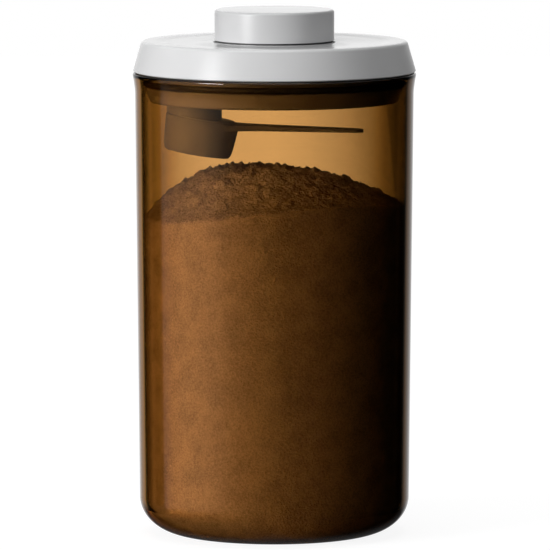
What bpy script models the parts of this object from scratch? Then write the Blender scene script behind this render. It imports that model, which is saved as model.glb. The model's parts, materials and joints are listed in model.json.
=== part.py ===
"""Formula powder container: a tinted round jar with a push-button lid and a scoop inside.

Lengths are in metres and +Z is up. The origin is the centre of the jar's base, and the
scoop's handle points along +X. Everything is modelled at rest: the lid on the jar, the
button up and the scoop on its holder under the lid.
"""

import math

import bmesh
import bpy
from mathutils import Matrix, Vector, noise

# Driving dimensions
JAR_HEIGHT = 0.2123
JAR_RIM_RADIUS = 0.0650
JAR_WALL = 0.0030
LID_HEIGHT = 0.0141
BUTTON_RADIUS = 0.0274
BUTTON_RISE = 0.0149
BUTTON_TRAVEL = 0.0125
SCOOP_RIM_RADIUS = 0.0170
SCOOP_DEPTH = 0.0162
SCOOP_REACH = 0.0737

# Clearances between pieces that touch, that slide, and that a screw passes through
FIT_GAP = 0.0003
SLIDE_GAP = 0.0005
SCREW_GAP = 0.0003
CUT_OVERRUN = 0.0010

# Sides of the turned pieces, from the widest to the smallest
SIDES_WIDE = 60
SIDES_MIDDLE = 36
SIDES_NARROW = 28
SIDES_SCREW = 12
LEVER_COUNT = 4
QUARTER_TURN = math.pi / 2
EIGHTH_TURN = math.pi / 4

# Jar
JAR_FLARE_OUT = 0.0011
JAR_TAPER = 0.0019
JAR_FLOOR = 0.0027
JAR_CORNER_ACROSS = 0.0205
JAR_CORNER_UP = 0.0170
JAR_CORNER_STEPS = 7
JAR_INNER_CORNER_STEPS = 5
JAR_FLARE = 0.0095
JAR_FLARE_STEPS = 3
JAR_FLARE_POWER = 1.5
JAR_LIP_RADIUS = 0.0010
JAR_FOOT_WIDTH = 0.0045
JAR_FOOT_RECESS = 0.0008

# Powder, a crumbly heap whose top stays clear of the scoop
POWDER_PEAK_X = -0.0120
POWDER_PEAK_Y = 0.0080
POWDER_BELOW_SCOOP = 0.0040
POWDER_HEAP_RISE = 0.0182
POWDER_HEAP_POWER = 2.25
POWDER_EDGE_SWELL = 0.0024
POWDER_SWELL_TURN = math.radians(5)
POWDER_EDGE_WAVE = 0.0033
POWDER_WAVE_TURN = math.radians(-66)
POWDER_LUMP_HEIGHT = 0.0022
POWDER_LUMP_SPACING = 0.0052
POWDER_LUMP_FADE = 8
POWDER_SIDES = 64
POWDER_RINGS = 13
POWDER_CORNER_STEPS = 4

# Lid cover
LID_SEAT_GAP = 0.0005
LID_INSET = 0.0002
LID_WALL = 0.0018
LID_ROUND = 0.0030
LID_SKIRT_SLOPE = 0.0062
LID_DISH_DEPTH = 0.0006
LID_RIM_WIDTH = 0.0036
LID_DISH_SLOPE = 0.0050
LID_HEM = 0.0004
LID_TOP_THICKNESS = 0.0020
LID_ROUND_STEPS = 4
WELL_WALL = 0.0016
WELL_CHAMFER = 0.0003
SCREW_RING_SHARE = 0.64
BOSS_RADIUS = 0.0034

# Mechanism frame, which closes the lid from below
FRAME_PLATE = 0.0020
FRAME_FLANGE = 0.0013
FRAME_FLANGE_CLEARANCE = 0.0008
COLLAR_WALL = 0.0030
COLLAR_DEPTH = 0.0028
FRAME_HOLE_CLEARANCE = 0.0008
FRAME_ARM_WALL = 0.0020
FRAME_ARM_WIDTH = 0.0060
HUB_MARGIN = 0.0016
HUB_THICKNESS = 0.0017
HUB_POST_CLEARANCE = 0.0011
HUB_POST_HEIGHT = 0.0100
HUB_POST_CHAMFER = 0.0005
HUB_CLEARANCE = 0.0010
EAR_THICKNESS = 0.0016
EAR_RADIUS = 0.0022
SLOT_CLEARANCE = 0.0025

# Rocker levers and their pins
LEVER_PIVOT_INSET = 0.0042
LEVER_PIVOT_DROP = 0.00175
LEVER_TIP_INSET = 0.00119
LEVER_NOSE_ARM = 0.0023
LEVER_WIDTH = 0.0050
LEVER_TIP_RADIUS = 0.0015
LEVER_BAR = 0.0018
LEVER_NOSE_RADIUS = 0.0009
LEVER_HUB_RADIUS = 0.0018
PIN_RADIUS = 0.0007

# Button cap, plunger and their screw
BUTTON_ROUND = 0.0020
BUTTON_CROWN = 0.0003
BUTTON_WALL = 0.0018
BUTTON_LIP = 0.0015
BUTTON_LIP_HEIGHT = 0.0016
BUTTON_BOSS_RADIUS = 0.0040
BUTTON_BOSS_LENGTH = 0.0062
BUTTON_ROUND_STEPS = 4
BUTTON_CROWN_SHARES = (0.45, 0.80)
PLUNGER_SPRING_CLEARANCE = 0.0014
PLUNGER_WALL = 0.0018
PLUNGER_FLANGE_RADIUS = 0.0162
PLUNGER_FLANGE = 0.0016
PLUNGER_WEB = 0.0016
CAM_PROUD = 0.0016
CAM_THICKNESS = 0.0026
CAM_WIDTH = 0.0110
CAM_HEIGHT = 0.0180
CAM_TRACK_DEPTH = 0.0013
CAM_TRACK_GAP = 0.00035

# Latch wire, which follows the cam track and holds the button down
WIRE_RADIUS = 0.0005
WIRE_AXIS_HEIGHT = 0.0021
WIRE_LENGTH = 0.0135
WIRE_SWAY = 0.0020
WIRE_STAND_CLEARANCE = 0.0012
WIRE_LEG_END = 0.0004
WIRE_BEND_RADIUS = 0.0010
WIRE_BEND_STEPS = 4
BLOCK_CLEARANCE = 0.0018
BLOCK_LENGTH = 0.0038
BLOCK_WIDTH = 0.0050
BLOCK_ABOVE_AXIS = 0.0017

# Return spring
SPRING_RADIUS = 0.0069
SPRING_WIRE_RADIUS = 0.0005
SPRING_CURLS = 7.5
SPRING_CURL_POINTS = 9

# Plug cup and gasket
GASKET_HEIGHT = 0.0027
GASKET_CLEARANCE = 0.00055
GASKET_STEPS = 4
PLUG_DEPTH = 0.0074
PLUG_FLOOR = 0.0016
PLUG_CLEARANCE = 0.0013
PLUG_TAPER = 0.0022
PLUG_ROUND = 0.0014
PLUG_ROUND_STEPS = 4
PLUG_COAMING_WALL = 0.0016
PLUG_COAMING_HEIGHT = 0.0016
PLUG_EDGE = 0.0003
HOOK_REACH = 0.0080
HOOK_POST = 0.0020
HOOK_LIP = 0.0013

# Scoop and its holder
SCOOP_TILT = math.radians(9.6)
SCOOP_PLACE_SHARE = 0.5386
SCOOP_RIM_BELOW_PLUG = 0.0080
SCOOP_WALL = 0.0013
SCOOP_TAPER = 0.0027
SCOOP_WALL_HEIGHT_SHARES = (0.05, 0.14, 0.28, 0.52, 0.80)
SCOOP_WALL_RADIUS_SHARES = (0.22, 0.45, 0.65, 0.81, 0.94)
HANDLE_WIDTH = 0.0120
HANDLE_END_WIDTH = 0.0100
HANDLE_ROOT_THICKNESS = 0.0025
HANDLE_END_THICKNESS = 0.0014
HANDLE_TOP_BELOW_RIM = 0.0028
HANDLE_DROP = 0.0023
HANDLE_ROOT_TURN = math.radians(62)
HANDLE_FLARE_SHARES = ((0.06, 0.79), (0.12, 0.54), (0.20, 0.28), (0.32, 0.08))
HANDLE_ARC_STEPS = 8
HOLDER_NECK_RADIUS = 0.01265
HOLDER_INSET = 0.00016
HOLDER_PLUG_DEPTH = 0.0033
HOLDER_PLUG_TOP = 0.0006
HOLDER_PLUG_WALL = 0.0016
HOLDER_CORE_DEPTH = 0.0021
HOLDER_SCREW_SPREAD = 0.0065

# Screws
SCREW_RADIUS = 0.0012
SCREW_HEAD_RADIUS = 0.0026
SCREW_HEAD = 0.0016
SCREW_HEAD_EDGE = 0.0005
FRAME_SCREW_LENGTH = 0.0080
BUTTON_SCREW_LENGTH = 0.0060
HOLDER_SCREW_LENGTH = 0.0055
HOLDER_SCREW_HEAD = 0.0013
SCREW_TIP_ROOM = 0.0007

# Radii that follow from the sizes above
JAR_NECK_RADIUS = JAR_RIM_RADIUS - JAR_FLARE_OUT
JAR_FOOT_RADIUS = JAR_NECK_RADIUS - JAR_TAPER
JAR_BORE_RADIUS = JAR_NECK_RADIUS - JAR_WALL
LID_EDGE_RADIUS = JAR_RIM_RADIUS - LID_INSET
LID_SHOULDER_RADIUS = LID_EDGE_RADIUS - LID_SKIRT_SLOPE
LID_DISH_RIM_RADIUS = LID_SHOULDER_RADIUS - LID_RIM_WIDTH
LID_DISH_RADIUS = LID_DISH_RIM_RADIUS - LID_DISH_SLOPE
WELL_RADIUS = BUTTON_RADIUS + BUTTON_LIP + SLIDE_GAP
FRAME_FLANGE_RADIUS = LID_EDGE_RADIUS - LID_WALL - FRAME_FLANGE_CLEARANCE
COLLAR_RADIUS = JAR_BORE_RADIUS - FIT_GAP
COLLAR_INNER_RADIUS = COLLAR_RADIUS - COLLAR_WALL
WELL_OUTER_RADIUS = WELL_RADIUS + WELL_WALL
SCREW_RING_RADIUS = WELL_OUTER_RADIUS + (COLLAR_INNER_RADIUS - WELL_OUTER_RADIUS) * SCREW_RING_SHARE
FRAME_HOLE_RADIUS = WELL_OUTER_RADIUS + FRAME_HOLE_CLEARANCE
PLUG_COAMING_RADIUS = COLLAR_INNER_RADIUS - SLIDE_GAP
PLUG_RADIUS = JAR_BORE_RADIUS - PLUG_CLEARANCE
PLUG_FOOT_RADIUS = PLUG_RADIUS - PLUG_TAPER
GASKET_RADIUS = JAR_BORE_RADIUS - GASKET_CLEARANCE
GASKET_INNER_RADIUS = PLUG_COAMING_RADIUS + FIT_GAP
SPRING_OUTER_RADIUS = SPRING_RADIUS + SPRING_WIRE_RADIUS
HUB_RADIUS = SPRING_OUTER_RADIUS + HUB_MARGIN
HUB_POST_RADIUS = SPRING_RADIUS - SPRING_WIRE_RADIUS - HUB_POST_CLEARANCE
PLUNGER_INNER_RADIUS = SPRING_OUTER_RADIUS + PLUNGER_SPRING_CLEARANCE
PLUNGER_RADIUS = PLUNGER_INNER_RADIUS + PLUNGER_WALL
CAM_RADIUS = PLUNGER_FLANGE_RADIUS + CAM_PROUD
WIRE_STAND_RADIUS = CAM_RADIUS + WIRE_STAND_CLEARANCE
BLOCK_INNER_RADIUS = WIRE_STAND_RADIUS + BLOCK_CLEARANCE
BLOCK_OUTER_RADIUS = BLOCK_INNER_RADIUS + BLOCK_LENGTH
WIRE_LEG_END_RADIUS = BLOCK_OUTER_RADIUS + WIRE_LEG_END
LEVER_PIVOT_RADIUS = FRAME_HOLE_RADIUS + LEVER_PIVOT_INSET
LEVER_TIP_REACH = LEVER_PIVOT_RADIUS - PLUNGER_FLANGE_RADIUS + LEVER_TIP_INSET
LEVER_ARM = math.hypot(LEVER_TIP_REACH, BUTTON_TRAVEL / 2)
HOOK_RADIUS = LEVER_PIVOT_RADIUS + HOOK_REACH
SLOT_OUTER_RADIUS = HOOK_RADIUS + SLOT_CLEARANCE
SCOOP_FOOT_RADIUS = SCOOP_RIM_RADIUS - SCOOP_TAPER
SCOOP_RIM_X = -JAR_BORE_RADIUS * SCOOP_PLACE_SHARE
SCOOP_RIM_SIDE = SCOOP_RIM_X - SCOOP_RIM_RADIUS * math.cos(SCOOP_TILT)
HOLDER_NECK_X = SCOOP_RIM_SIDE + HOLDER_NECK_RADIUS + HOLDER_INSET

# Heights that follow from the sizes above
LID_BOTTOM = JAR_HEIGHT + LID_SEAT_GAP
LID_TOP = LID_BOTTOM + LID_HEIGHT
DISH_TOP = LID_TOP - LID_DISH_DEPTH
LID_CEILING = DISH_TOP - LID_TOP_THICKNESS
FRAME_TOP = LID_BOTTOM + FRAME_FLANGE
PLATE_BOTTOM = FRAME_TOP - FRAME_PLATE
COLLAR_BOTTOM = LID_BOTTOM - COLLAR_DEPTH
GASKET_TOP = COLLAR_BOTTOM - FIT_GAP
GASKET_BOTTOM = GASKET_TOP - GASKET_HEIGHT
PLUG_SHOULDER = GASKET_BOTTOM - FIT_GAP
PLUG_BOTTOM = PLUG_SHOULDER - PLUG_DEPTH
PLUG_INSIDE = PLUG_BOTTOM + PLUG_FLOOR
LEVER_SWING = 2 * math.asin(BUTTON_TRAVEL / 2 / LEVER_ARM)
PLUG_LIFT = BUTTON_TRAVEL * LEVER_NOSE_ARM / LEVER_ARM
LEVER_PIVOT_HEIGHT = PLATE_BOTTOM - LEVER_PIVOT_DROP
HUB_BOTTOM = PLUG_INSIDE + PLUG_LIFT + HUB_CLEARANCE
HUB_TOP = HUB_BOTTOM + HUB_THICKNESS
BUTTON_TOP = DISH_TOP + BUTTON_RISE
BUTTON_CEILING = BUTTON_TOP - BUTTON_WALL
PLUNGER_BOTTOM = LEVER_PIVOT_HEIGHT + BUTTON_TRAVEL / 2 + LEVER_TIP_RADIUS + FIT_GAP
PLUNGER_TOP = BUTTON_CEILING - FIT_GAP
BUTTON_BOSS_BOTTOM = BUTTON_CEILING - BUTTON_BOSS_LENGTH
WEB_TOP = BUTTON_BOSS_BOTTOM - FIT_GAP
WEB_BOTTOM = WEB_TOP - PLUNGER_WEB
WIRE_AXIS = HUB_TOP + WIRE_AXIS_HEIGHT
SCOOP_RIM_HEIGHT = PLUG_BOTTOM - SCOOP_RIM_BELOW_PLUG
JAR_DRAFT = (JAR_NECK_RADIUS - JAR_FOOT_RADIUS) / (JAR_HEIGHT - JAR_FLARE - JAR_CORNER_UP)
JAR_INSIDE_BOTTOM = JAR_FOOT_RECESS + JAR_FLOOR
SCOOP_FOOT_DROP = SCOOP_DEPTH * math.cos(SCOOP_TILT) + SCOOP_FOOT_RADIUS * math.sin(SCOOP_TILT)
POWDER_PEAK_HEIGHT = SCOOP_RIM_HEIGHT - SCOOP_FOOT_DROP - POWDER_BELOW_SCOOP
POWDER_EDGE_HEIGHT = POWDER_PEAK_HEIGHT - POWDER_HEAP_RISE


def clear_scene():
    for item in list(bpy.data.objects):
        bpy.data.objects.remove(item, do_unlink=True)


def finish(name, colour, roughness, metallic=0.0, alpha=1.0):
    """A plain Principled material in the piece's own colour."""
    made = bpy.data.materials.new(name)
    made.use_nodes = True
    shader = made.node_tree.nodes["Principled BSDF"]
    shader.inputs["Base Color"].default_value = (*colour, 1.0)
    shader.inputs["Roughness"].default_value = roughness
    shader.inputs["Metallic"].default_value = metallic
    shader.inputs["Alpha"].default_value = alpha
    made.diffuse_color = (*colour, alpha)
    return made


def add_piece(name, mesh, material):
    piece = bpy.data.objects.new(name, mesh)
    bpy.context.collection.objects.link(piece)
    if material is not None:
        mesh.materials.append(material)
    return piece


def shade(piece):
    piece.data.shade_smooth()
    piece.data.set_sharp_from_angle(angle=math.radians(35))


def bake(piece):
    """Keep the shape that the modifiers give as the piece's own mesh."""
    bpy.context.view_layer.update()
    graph = bpy.context.evaluated_depsgraph_get()
    mesh = bpy.data.meshes.new_from_object(piece.evaluated_get(graph))
    piece.modifiers.clear()
    piece.data = mesh
    shade(piece)
    return piece


def turned(name, outline, sides, material, closed=True):
    """Turn an outline of (radius, height) points round the Z axis."""
    bm = bmesh.new()
    points = [bm.verts.new((radius, 0, height)) for radius, height in outline]
    for first, second in zip(points, points[1:]):
        bm.edges.new((first, second))
    if closed:
        bm.edges.new((points[-1], points[0]))
    mesh = bpy.data.meshes.new(name)
    bm.to_mesh(mesh)
    bm.free()
    piece = add_piece(name, mesh, material)
    screw = piece.modifiers.new("Turn", "SCREW")
    screw.axis = "Z"
    screw.angle = 2 * math.pi
    screw.steps = sides
    screw.render_steps = sides
    screw.use_merge_vertices = True
    screw.merge_threshold = 0.00001
    screw.use_smooth_shade = True
    return bake(piece)


def extruded(name, outline, low, high, material, side_axis="Y"):
    """A prism: an outline of points, pushed from low to high along one axis."""
    bm = bmesh.new()
    if side_axis == "Y":
        floor = [bm.verts.new((across, low, up)) for across, up in outline]
    else:
        floor = [bm.verts.new((across, along, low)) for across, along in outline]
    face = bm.faces.new(floor)
    pushed = bmesh.ops.extrude_face_region(bm, geom=[face])
    shift = Vector((0, high - low, 0)) if side_axis == "Y" else Vector((0, 0, high - low))
    moved = [item for item in pushed["geom"] if isinstance(item, bmesh.types.BMVert)]
    bmesh.ops.translate(bm, verts=moved, vec=shift)
    bmesh.ops.recalc_face_normals(bm, faces=bm.faces)
    mesh = bpy.data.meshes.new(name)
    bm.to_mesh(mesh)
    bm.free()
    piece = add_piece(name, mesh, material)
    shade(piece)
    return piece


def box_outline(low_a, high_a, low_b, high_b):
    return [(low_a, low_b), (high_a, low_b), (high_a, high_b), (low_a, high_b)]


def arc(centre_a, centre_b, radius, start, end, steps):
    """Points on a circle from the start angle to the end angle, both in degrees."""
    angles = [math.radians(start + (end - start) * step / steps) for step in range(steps + 1)]
    return [(centre_a + radius * math.cos(turn), centre_b + radius * math.sin(turn)) for turn in angles]


def oval_corner(centre_a, centre_b, across, up, steps):
    """A quarter of an ellipse, from its outer side down to its underside."""
    angles = [QUARTER_TURN * step / steps for step in range(steps + 1)]
    return [(centre_a + across * math.cos(turn), centre_b - up * math.sin(turn)) for turn in angles]


def rod(name, radius, low, high, sides, material=None):
    """A round rod along Z, from low to high."""
    outline = [(0, high), (radius, high), (radius, low), (0, low)]
    return turned(name, outline, sides, material, closed=False)


def combine(piece, tool, operation):
    """Join a tool to a piece, or cut the piece with it, and remove the tool."""
    tool.hide_render = True
    tool.display_type = "WIRE"
    step = piece.modifiers.new(operation.title(), "BOOLEAN")
    step.operation = operation
    step.object = tool
    step.solver = "EXACT"
    bake(piece)
    bpy.data.objects.remove(tool, do_unlink=True)
    return piece


def spread_round(piece, count, first_turn):
    """Turn a piece's mesh to its first place and copy it round the Z axis."""
    bm = bmesh.new()
    bm.from_mesh(piece.data)
    bm.transform(piece.matrix_basis)
    bm.transform(Matrix.Rotation(first_turn, 4, "Z"))
    seed = bm.verts[:] + bm.edges[:] + bm.faces[:]
    for place in range(1, count):
        copied = bmesh.ops.duplicate(bm, geom=seed)["geom"]
        moved = [item for item in copied if isinstance(item, bmesh.types.BMVert)]
        turn = Matrix.Rotation(2 * math.pi * place / count, 3, "Z")
        bmesh.ops.rotate(bm, cent=(0, 0, 0), matrix=turn, verts=moved)
    piece.matrix_basis = Matrix.Identity(4)
    bm.to_mesh(piece.data)
    bm.free()
    return piece


def group_parent(name, place):
    """An empty on a body's joint axis, which carries the body's pieces."""
    empty = bpy.data.objects.new(name, None)
    empty.location = place
    bpy.context.collection.objects.link(empty)
    bpy.context.view_layer.update()
    return empty


def hang_on(parent, pieces):
    for piece in pieces:
        piece.parent = parent
        piece.matrix_parent_inverse = parent.matrix_world.inverted()


def jar_radius(height):
    """The jar's outer radius on its straight, drafted wall."""
    return JAR_FOOT_RADIUS + JAR_DRAFT * (height - JAR_CORNER_UP)


def jar_wall_radii():
    """Outer radii and heights down the flared mouth, from the lip to the neck."""
    points = []
    for step in range(JAR_FLARE_STEPS, -1, -1):
        share = step / JAR_FLARE_STEPS
        spread = (JAR_RIM_RADIUS - JAR_NECK_RADIUS) * share**JAR_FLARE_POWER
        height = JAR_HEIGHT - JAR_FLARE + (JAR_FLARE - JAR_LIP_RADIUS) * share
        points.append((JAR_NECK_RADIUS + spread, height))
    return points


def build_jar(material):
    """The jar: a drafted wall with a flared mouth, a rounded lip and an oval foot corner."""
    flat = JAR_FOOT_RADIUS - JAR_CORNER_ACROSS
    inner_across = JAR_CORNER_ACROSS - JAR_WALL
    inner_up = JAR_CORNER_UP - JAR_INSIDE_BOTTOM
    inner_corner = oval_corner(flat, JAR_CORNER_UP, inner_across, inner_up, JAR_INNER_CORNER_STEPS)
    flare = jar_wall_radii()
    inner_flare = [(radius - JAR_WALL, height) for radius, height in reversed(flare)]
    lip_height = JAR_HEIGHT - JAR_LIP_RADIUS
    lip_middle = JAR_RIM_RADIUS - JAR_WALL + JAR_LIP_RADIUS
    inner_lip = arc(lip_middle, lip_height, JAR_LIP_RADIUS, 150, 90, 2)
    outer_lip = arc(JAR_RIM_RADIUS - JAR_LIP_RADIUS, lip_height, JAR_LIP_RADIUS, 90, 30, 2)
    outer_corner = oval_corner(flat, JAR_CORNER_UP, JAR_CORNER_ACROSS, JAR_CORNER_UP, JAR_CORNER_STEPS)
    foot = flat - JAR_FOOT_WIDTH
    outline = [(0, JAR_INSIDE_BOTTOM)]
    outline += list(reversed(inner_corner))
    outline += inner_flare + inner_lip + outer_lip + flare + outer_corner
    outline += [(foot, 0), (foot - JAR_FOOT_RECESS, JAR_FOOT_RECESS), (0, JAR_FOOT_RECESS)]
    return turned("container_body", outline, SIDES_WIDE, material, closed=False)


def powder_edge_height(turn):
    """How high the powder stands against the wall, all round the jar."""
    swell = POWDER_EDGE_SWELL * math.cos(turn - POWDER_SWELL_TURN)
    wave = POWDER_EDGE_WAVE * math.cos(2 * (turn - POWDER_WAVE_TURN))
    return POWDER_EDGE_HEIGHT + swell + wave


def powder_heap_point(turn, share):
    """A point of the lumpy heap: share is 1 at the wall and 0 at the peak."""
    edge = powder_edge_height(turn)
    radius = jar_radius(edge) - JAR_WALL - FIT_GAP
    across = POWDER_PEAK_X + (radius * math.cos(turn) - POWDER_PEAK_X) * share
    along = POWDER_PEAK_Y + (radius * math.sin(turn) - POWDER_PEAK_Y) * share
    rise = 1 - share**POWDER_HEAP_POWER
    lump = noise.noise(Vector((across, along, 0)) / POWDER_LUMP_SPACING)
    lump *= min(1, POWDER_LUMP_FADE * (1 - share))
    height = edge + (POWDER_PEAK_HEIGHT - edge) * rise + POWDER_LUMP_HEIGHT * lump
    return Vector((across, along, height))


def build_powder(material):
    """The powder fills the jar to a heap, a fit gap away from the wall all round."""
    flat = JAR_FOOT_RADIUS - JAR_CORNER_ACROSS
    across = JAR_CORNER_ACROSS - JAR_WALL - FIT_GAP
    up = JAR_CORNER_UP - JAR_INSIDE_BOTTOM - FIT_GAP
    sides = [2 * math.pi * place / POWDER_SIDES for place in range(POWDER_SIDES)]
    bm = bmesh.new()
    rings = []
    for radius, height in reversed(oval_corner(flat, JAR_CORNER_UP, across, up, POWDER_CORNER_STEPS)):
        places = [Vector((radius * math.cos(turn), radius * math.sin(turn), height)) for turn in sides]
        rings.append([bm.verts.new(place) for place in places])
    for ring in range(POWDER_RINGS):
        share = 1 - ring / POWDER_RINGS
        rings.append([bm.verts.new(powder_heap_point(turn, share)) for turn in sides])
    bm.faces.new(list(reversed(rings[0])))
    for lower, upper in zip(rings, rings[1:]):
        for place in range(POWDER_SIDES):
            after = (place + 1) % POWDER_SIDES
            bm.faces.new((lower[place], lower[after], upper[after], upper[place]))
    peak = bm.verts.new(powder_heap_point(0, 0))
    for place in range(POWDER_SIDES):
        bm.faces.new((rings[-1][place], rings[-1][(place + 1) % POWDER_SIDES], peak))
    mesh = bpy.data.meshes.new("powder")
    bm.to_mesh(mesh)
    bm.free()
    piece = add_piece("powder", mesh, material)
    shade(piece)
    return piece


def build_lid_cover(material):
    """The lid's cover: a dished top, a sloping skirt, the button's well and the screw bosses."""
    hole = BUTTON_RADIUS + SLIDE_GAP
    round_middle = LID_TOP - LID_ROUND
    drop = round_middle - LID_BOTTOM - LID_HEM
    spread = LID_EDGE_RADIUS - LID_SHOULDER_RADIUS
    reach = math.hypot(spread, drop)
    lean = math.acos(LID_ROUND / reach) - math.atan2(drop, spread)
    side_turn = math.degrees(lean)
    corner = arc(LID_SHOULDER_RADIUS, round_middle, LID_ROUND, 90, side_turn, LID_ROUND_STEPS)
    inner_corner_radius = LID_ROUND - LID_WALL
    inner_corner = arc(LID_SHOULDER_RADIUS, round_middle, inner_corner_radius, side_turn, 90, 2)
    skirt_wall = LID_WALL / math.cos(lean)
    frame_gap_height = FRAME_TOP + FIT_GAP
    outline = [(hole, DISH_TOP - WELL_CHAMFER), (hole + WELL_CHAMFER, DISH_TOP)]
    outline += [(LID_DISH_RADIUS, DISH_TOP), (LID_DISH_RIM_RADIUS, LID_TOP)]
    outline += corner
    outline += [(LID_EDGE_RADIUS, LID_BOTTOM + LID_HEM), (LID_EDGE_RADIUS - LID_HEM, LID_BOTTOM)]
    outline += [(LID_EDGE_RADIUS - skirt_wall, LID_BOTTOM)]
    outline += inner_corner[:-1]
    outline += [(LID_DISH_RIM_RADIUS, LID_CEILING)]
    outline += [(WELL_OUTER_RADIUS, LID_CEILING), (WELL_OUTER_RADIUS, frame_gap_height)]
    outline += [(WELL_RADIUS, frame_gap_height), (WELL_RADIUS, LID_CEILING), (hole, LID_CEILING)]
    cover = turned("lid_cover", outline, SIDES_WIDE, material)
    boss = rod("boss", BOSS_RADIUS, frame_gap_height, LID_CEILING + CUT_OVERRUN, SIDES_SCREW)
    boss.location.x = SCREW_RING_RADIUS
    bpy.context.view_layer.update()
    combine(cover, spread_round(boss, LEVER_COUNT, EIGHTH_TURN), "UNION")
    hole_bottom = frame_gap_height - CUT_OVERRUN
    hole_top = PLATE_BOTTOM - FIT_GAP + FRAME_SCREW_LENGTH + SCREW_TIP_ROOM
    hole_tool = rod("boss_hole", SCREW_RADIUS + SCREW_GAP, hole_bottom, hole_top, SIDES_SCREW)
    hole_tool.location.x = SCREW_RING_RADIUS
    bpy.context.view_layer.update()
    return combine(cover, spread_round(hole_tool, LEVER_COUNT, EIGHTH_TURN), "DIFFERENCE")


def lever_ear_places():
    """The two sides of a lever's slot, as the low and high face of each ear."""
    inner = LEVER_WIDTH / 2 + FIT_GAP
    return ((inner, inner + EAR_THICKNESS), (-inner - EAR_THICKNESS, -inner))


def build_frame(material):
    """The lid's lower half: collar, plate, four arms to the hub, lever ears and wire block."""
    outline = [(FRAME_HOLE_RADIUS, FRAME_TOP), (FRAME_FLANGE_RADIUS, FRAME_TOP)]
    outline += [(FRAME_FLANGE_RADIUS, LID_BOTTOM), (COLLAR_RADIUS, LID_BOTTOM)]
    outline += [(COLLAR_RADIUS, COLLAR_BOTTOM), (COLLAR_INNER_RADIUS, COLLAR_BOTTOM)]
    outline += [(COLLAR_INNER_RADIUS, PLATE_BOTTOM), (FRAME_HOLE_RADIUS, PLATE_BOTTOM)]
    frame = turned("mechanism_frame", outline, SIDES_WIDE, material)

    slot_side = LEVER_WIDTH / 2 + FIT_GAP / 2
    slot = box_outline(FRAME_HOLE_RADIUS - CUT_OVERRUN, SLOT_OUTER_RADIUS, -slot_side, slot_side)
    low, high = PLATE_BOTTOM - CUT_OVERRUN, FRAME_TOP + CUT_OVERRUN
    cutter = extruded("slot", slot, low, high, None, side_axis="Z")
    combine(frame, spread_round(cutter, LEVER_COUNT, 0), "DIFFERENCE")

    hole = rod("screw_hole", SCREW_RADIUS + SCREW_GAP, low, high, SIDES_SCREW)
    hole.location.x = SCREW_RING_RADIUS
    bpy.context.view_layer.update()
    combine(frame, spread_round(hole, LEVER_COUNT, EIGHTH_TURN), "DIFFERENCE")

    leg_inner = FRAME_HOLE_RADIUS - FRAME_ARM_WALL
    arm = [(HUB_POST_RADIUS, HUB_BOTTOM), (FRAME_HOLE_RADIUS, HUB_BOTTOM)]
    arm += [(FRAME_HOLE_RADIUS, PLATE_BOTTOM), (FRAME_HOLE_RADIUS + FRAME_ARM_WALL, PLATE_BOTTOM)]
    arm += [(FRAME_HOLE_RADIUS + FRAME_ARM_WALL, FRAME_TOP), (leg_inner, FRAME_TOP)]
    arm += [(leg_inner, HUB_TOP), (HUB_POST_RADIUS, HUB_TOP)]
    arm_tool = extruded("arm", arm, -FRAME_ARM_WIDTH / 2, FRAME_ARM_WIDTH / 2, None)
    combine(frame, spread_round(arm_tool, LEVER_COUNT, EIGHTH_TURN), "UNION")

    post_top = HUB_TOP + HUB_POST_HEIGHT
    hub = [(0, post_top), (HUB_POST_RADIUS - HUB_POST_CHAMFER, post_top)]
    hub += [(HUB_POST_RADIUS, post_top - HUB_POST_CHAMFER), (HUB_POST_RADIUS, HUB_TOP)]
    hub += [(HUB_RADIUS, HUB_TOP), (HUB_RADIUS, HUB_BOTTOM), (0, HUB_BOTTOM)]
    combine(frame, turned("hub", hub, SIDES_NARROW, None, closed=False), "UNION")

    for low_side, high_side in lever_ear_places():
        ear = arc(LEVER_PIVOT_RADIUS, LEVER_PIVOT_HEIGHT, EAR_RADIUS, 180, 360, 6)
        ear += [(LEVER_PIVOT_RADIUS + EAR_RADIUS, PLATE_BOTTOM + FRAME_PLATE / 2)]
        ear += [(LEVER_PIVOT_RADIUS - EAR_RADIUS, PLATE_BOTTOM + FRAME_PLATE / 2)]
        ear_tool = extruded("ear", ear, low_side, high_side, None)
        combine(frame, spread_round(ear_tool, LEVER_COUNT, 0), "UNION")
    pin_half = LEVER_WIDTH / 2 + EAR_THICKNESS + CUT_OVERRUN
    pin_hole = pin_rod("pin_hole", PIN_RADIUS + FIT_GAP, pin_half)
    combine(frame, spread_round(pin_hole, LEVER_COUNT, 0), "DIFFERENCE")

    block_top = WIRE_AXIS + BLOCK_ABOVE_AXIS
    block = box_outline(BLOCK_INNER_RADIUS, BLOCK_OUTER_RADIUS, HUB_TOP - HUB_THICKNESS / 2, block_top)
    block_tool = extruded("wire_block", block, -BLOCK_WIDTH / 2, BLOCK_WIDTH / 2, None)
    combine(frame, spread_round(block_tool, 1, EIGHTH_TURN), "UNION")
    wire_hole = rod("wire_hole", WIRE_RADIUS + FIT_GAP, BLOCK_INNER_RADIUS - CUT_OVERRUN,
                    BLOCK_OUTER_RADIUS + CUT_OVERRUN, SIDES_SCREW)
    wire_hole.rotation_euler.y = QUARTER_TURN
    wire_hole.location.z = WIRE_AXIS
    bpy.context.view_layer.update()
    return combine(frame, spread_round(wire_hole, 1, EIGHTH_TURN), "DIFFERENCE")


def pin_rod(name, radius, half_length, material=None):
    """A rod on the first lever's pivot, lying across the lever."""
    pin = rod(name, radius, -half_length, half_length, SIDES_SCREW, material)
    pin.rotation_euler.x = QUARTER_TURN
    pin.location = (LEVER_PIVOT_RADIUS, 0, LEVER_PIVOT_HEIGHT)
    bpy.context.view_layer.update()
    return pin


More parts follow.
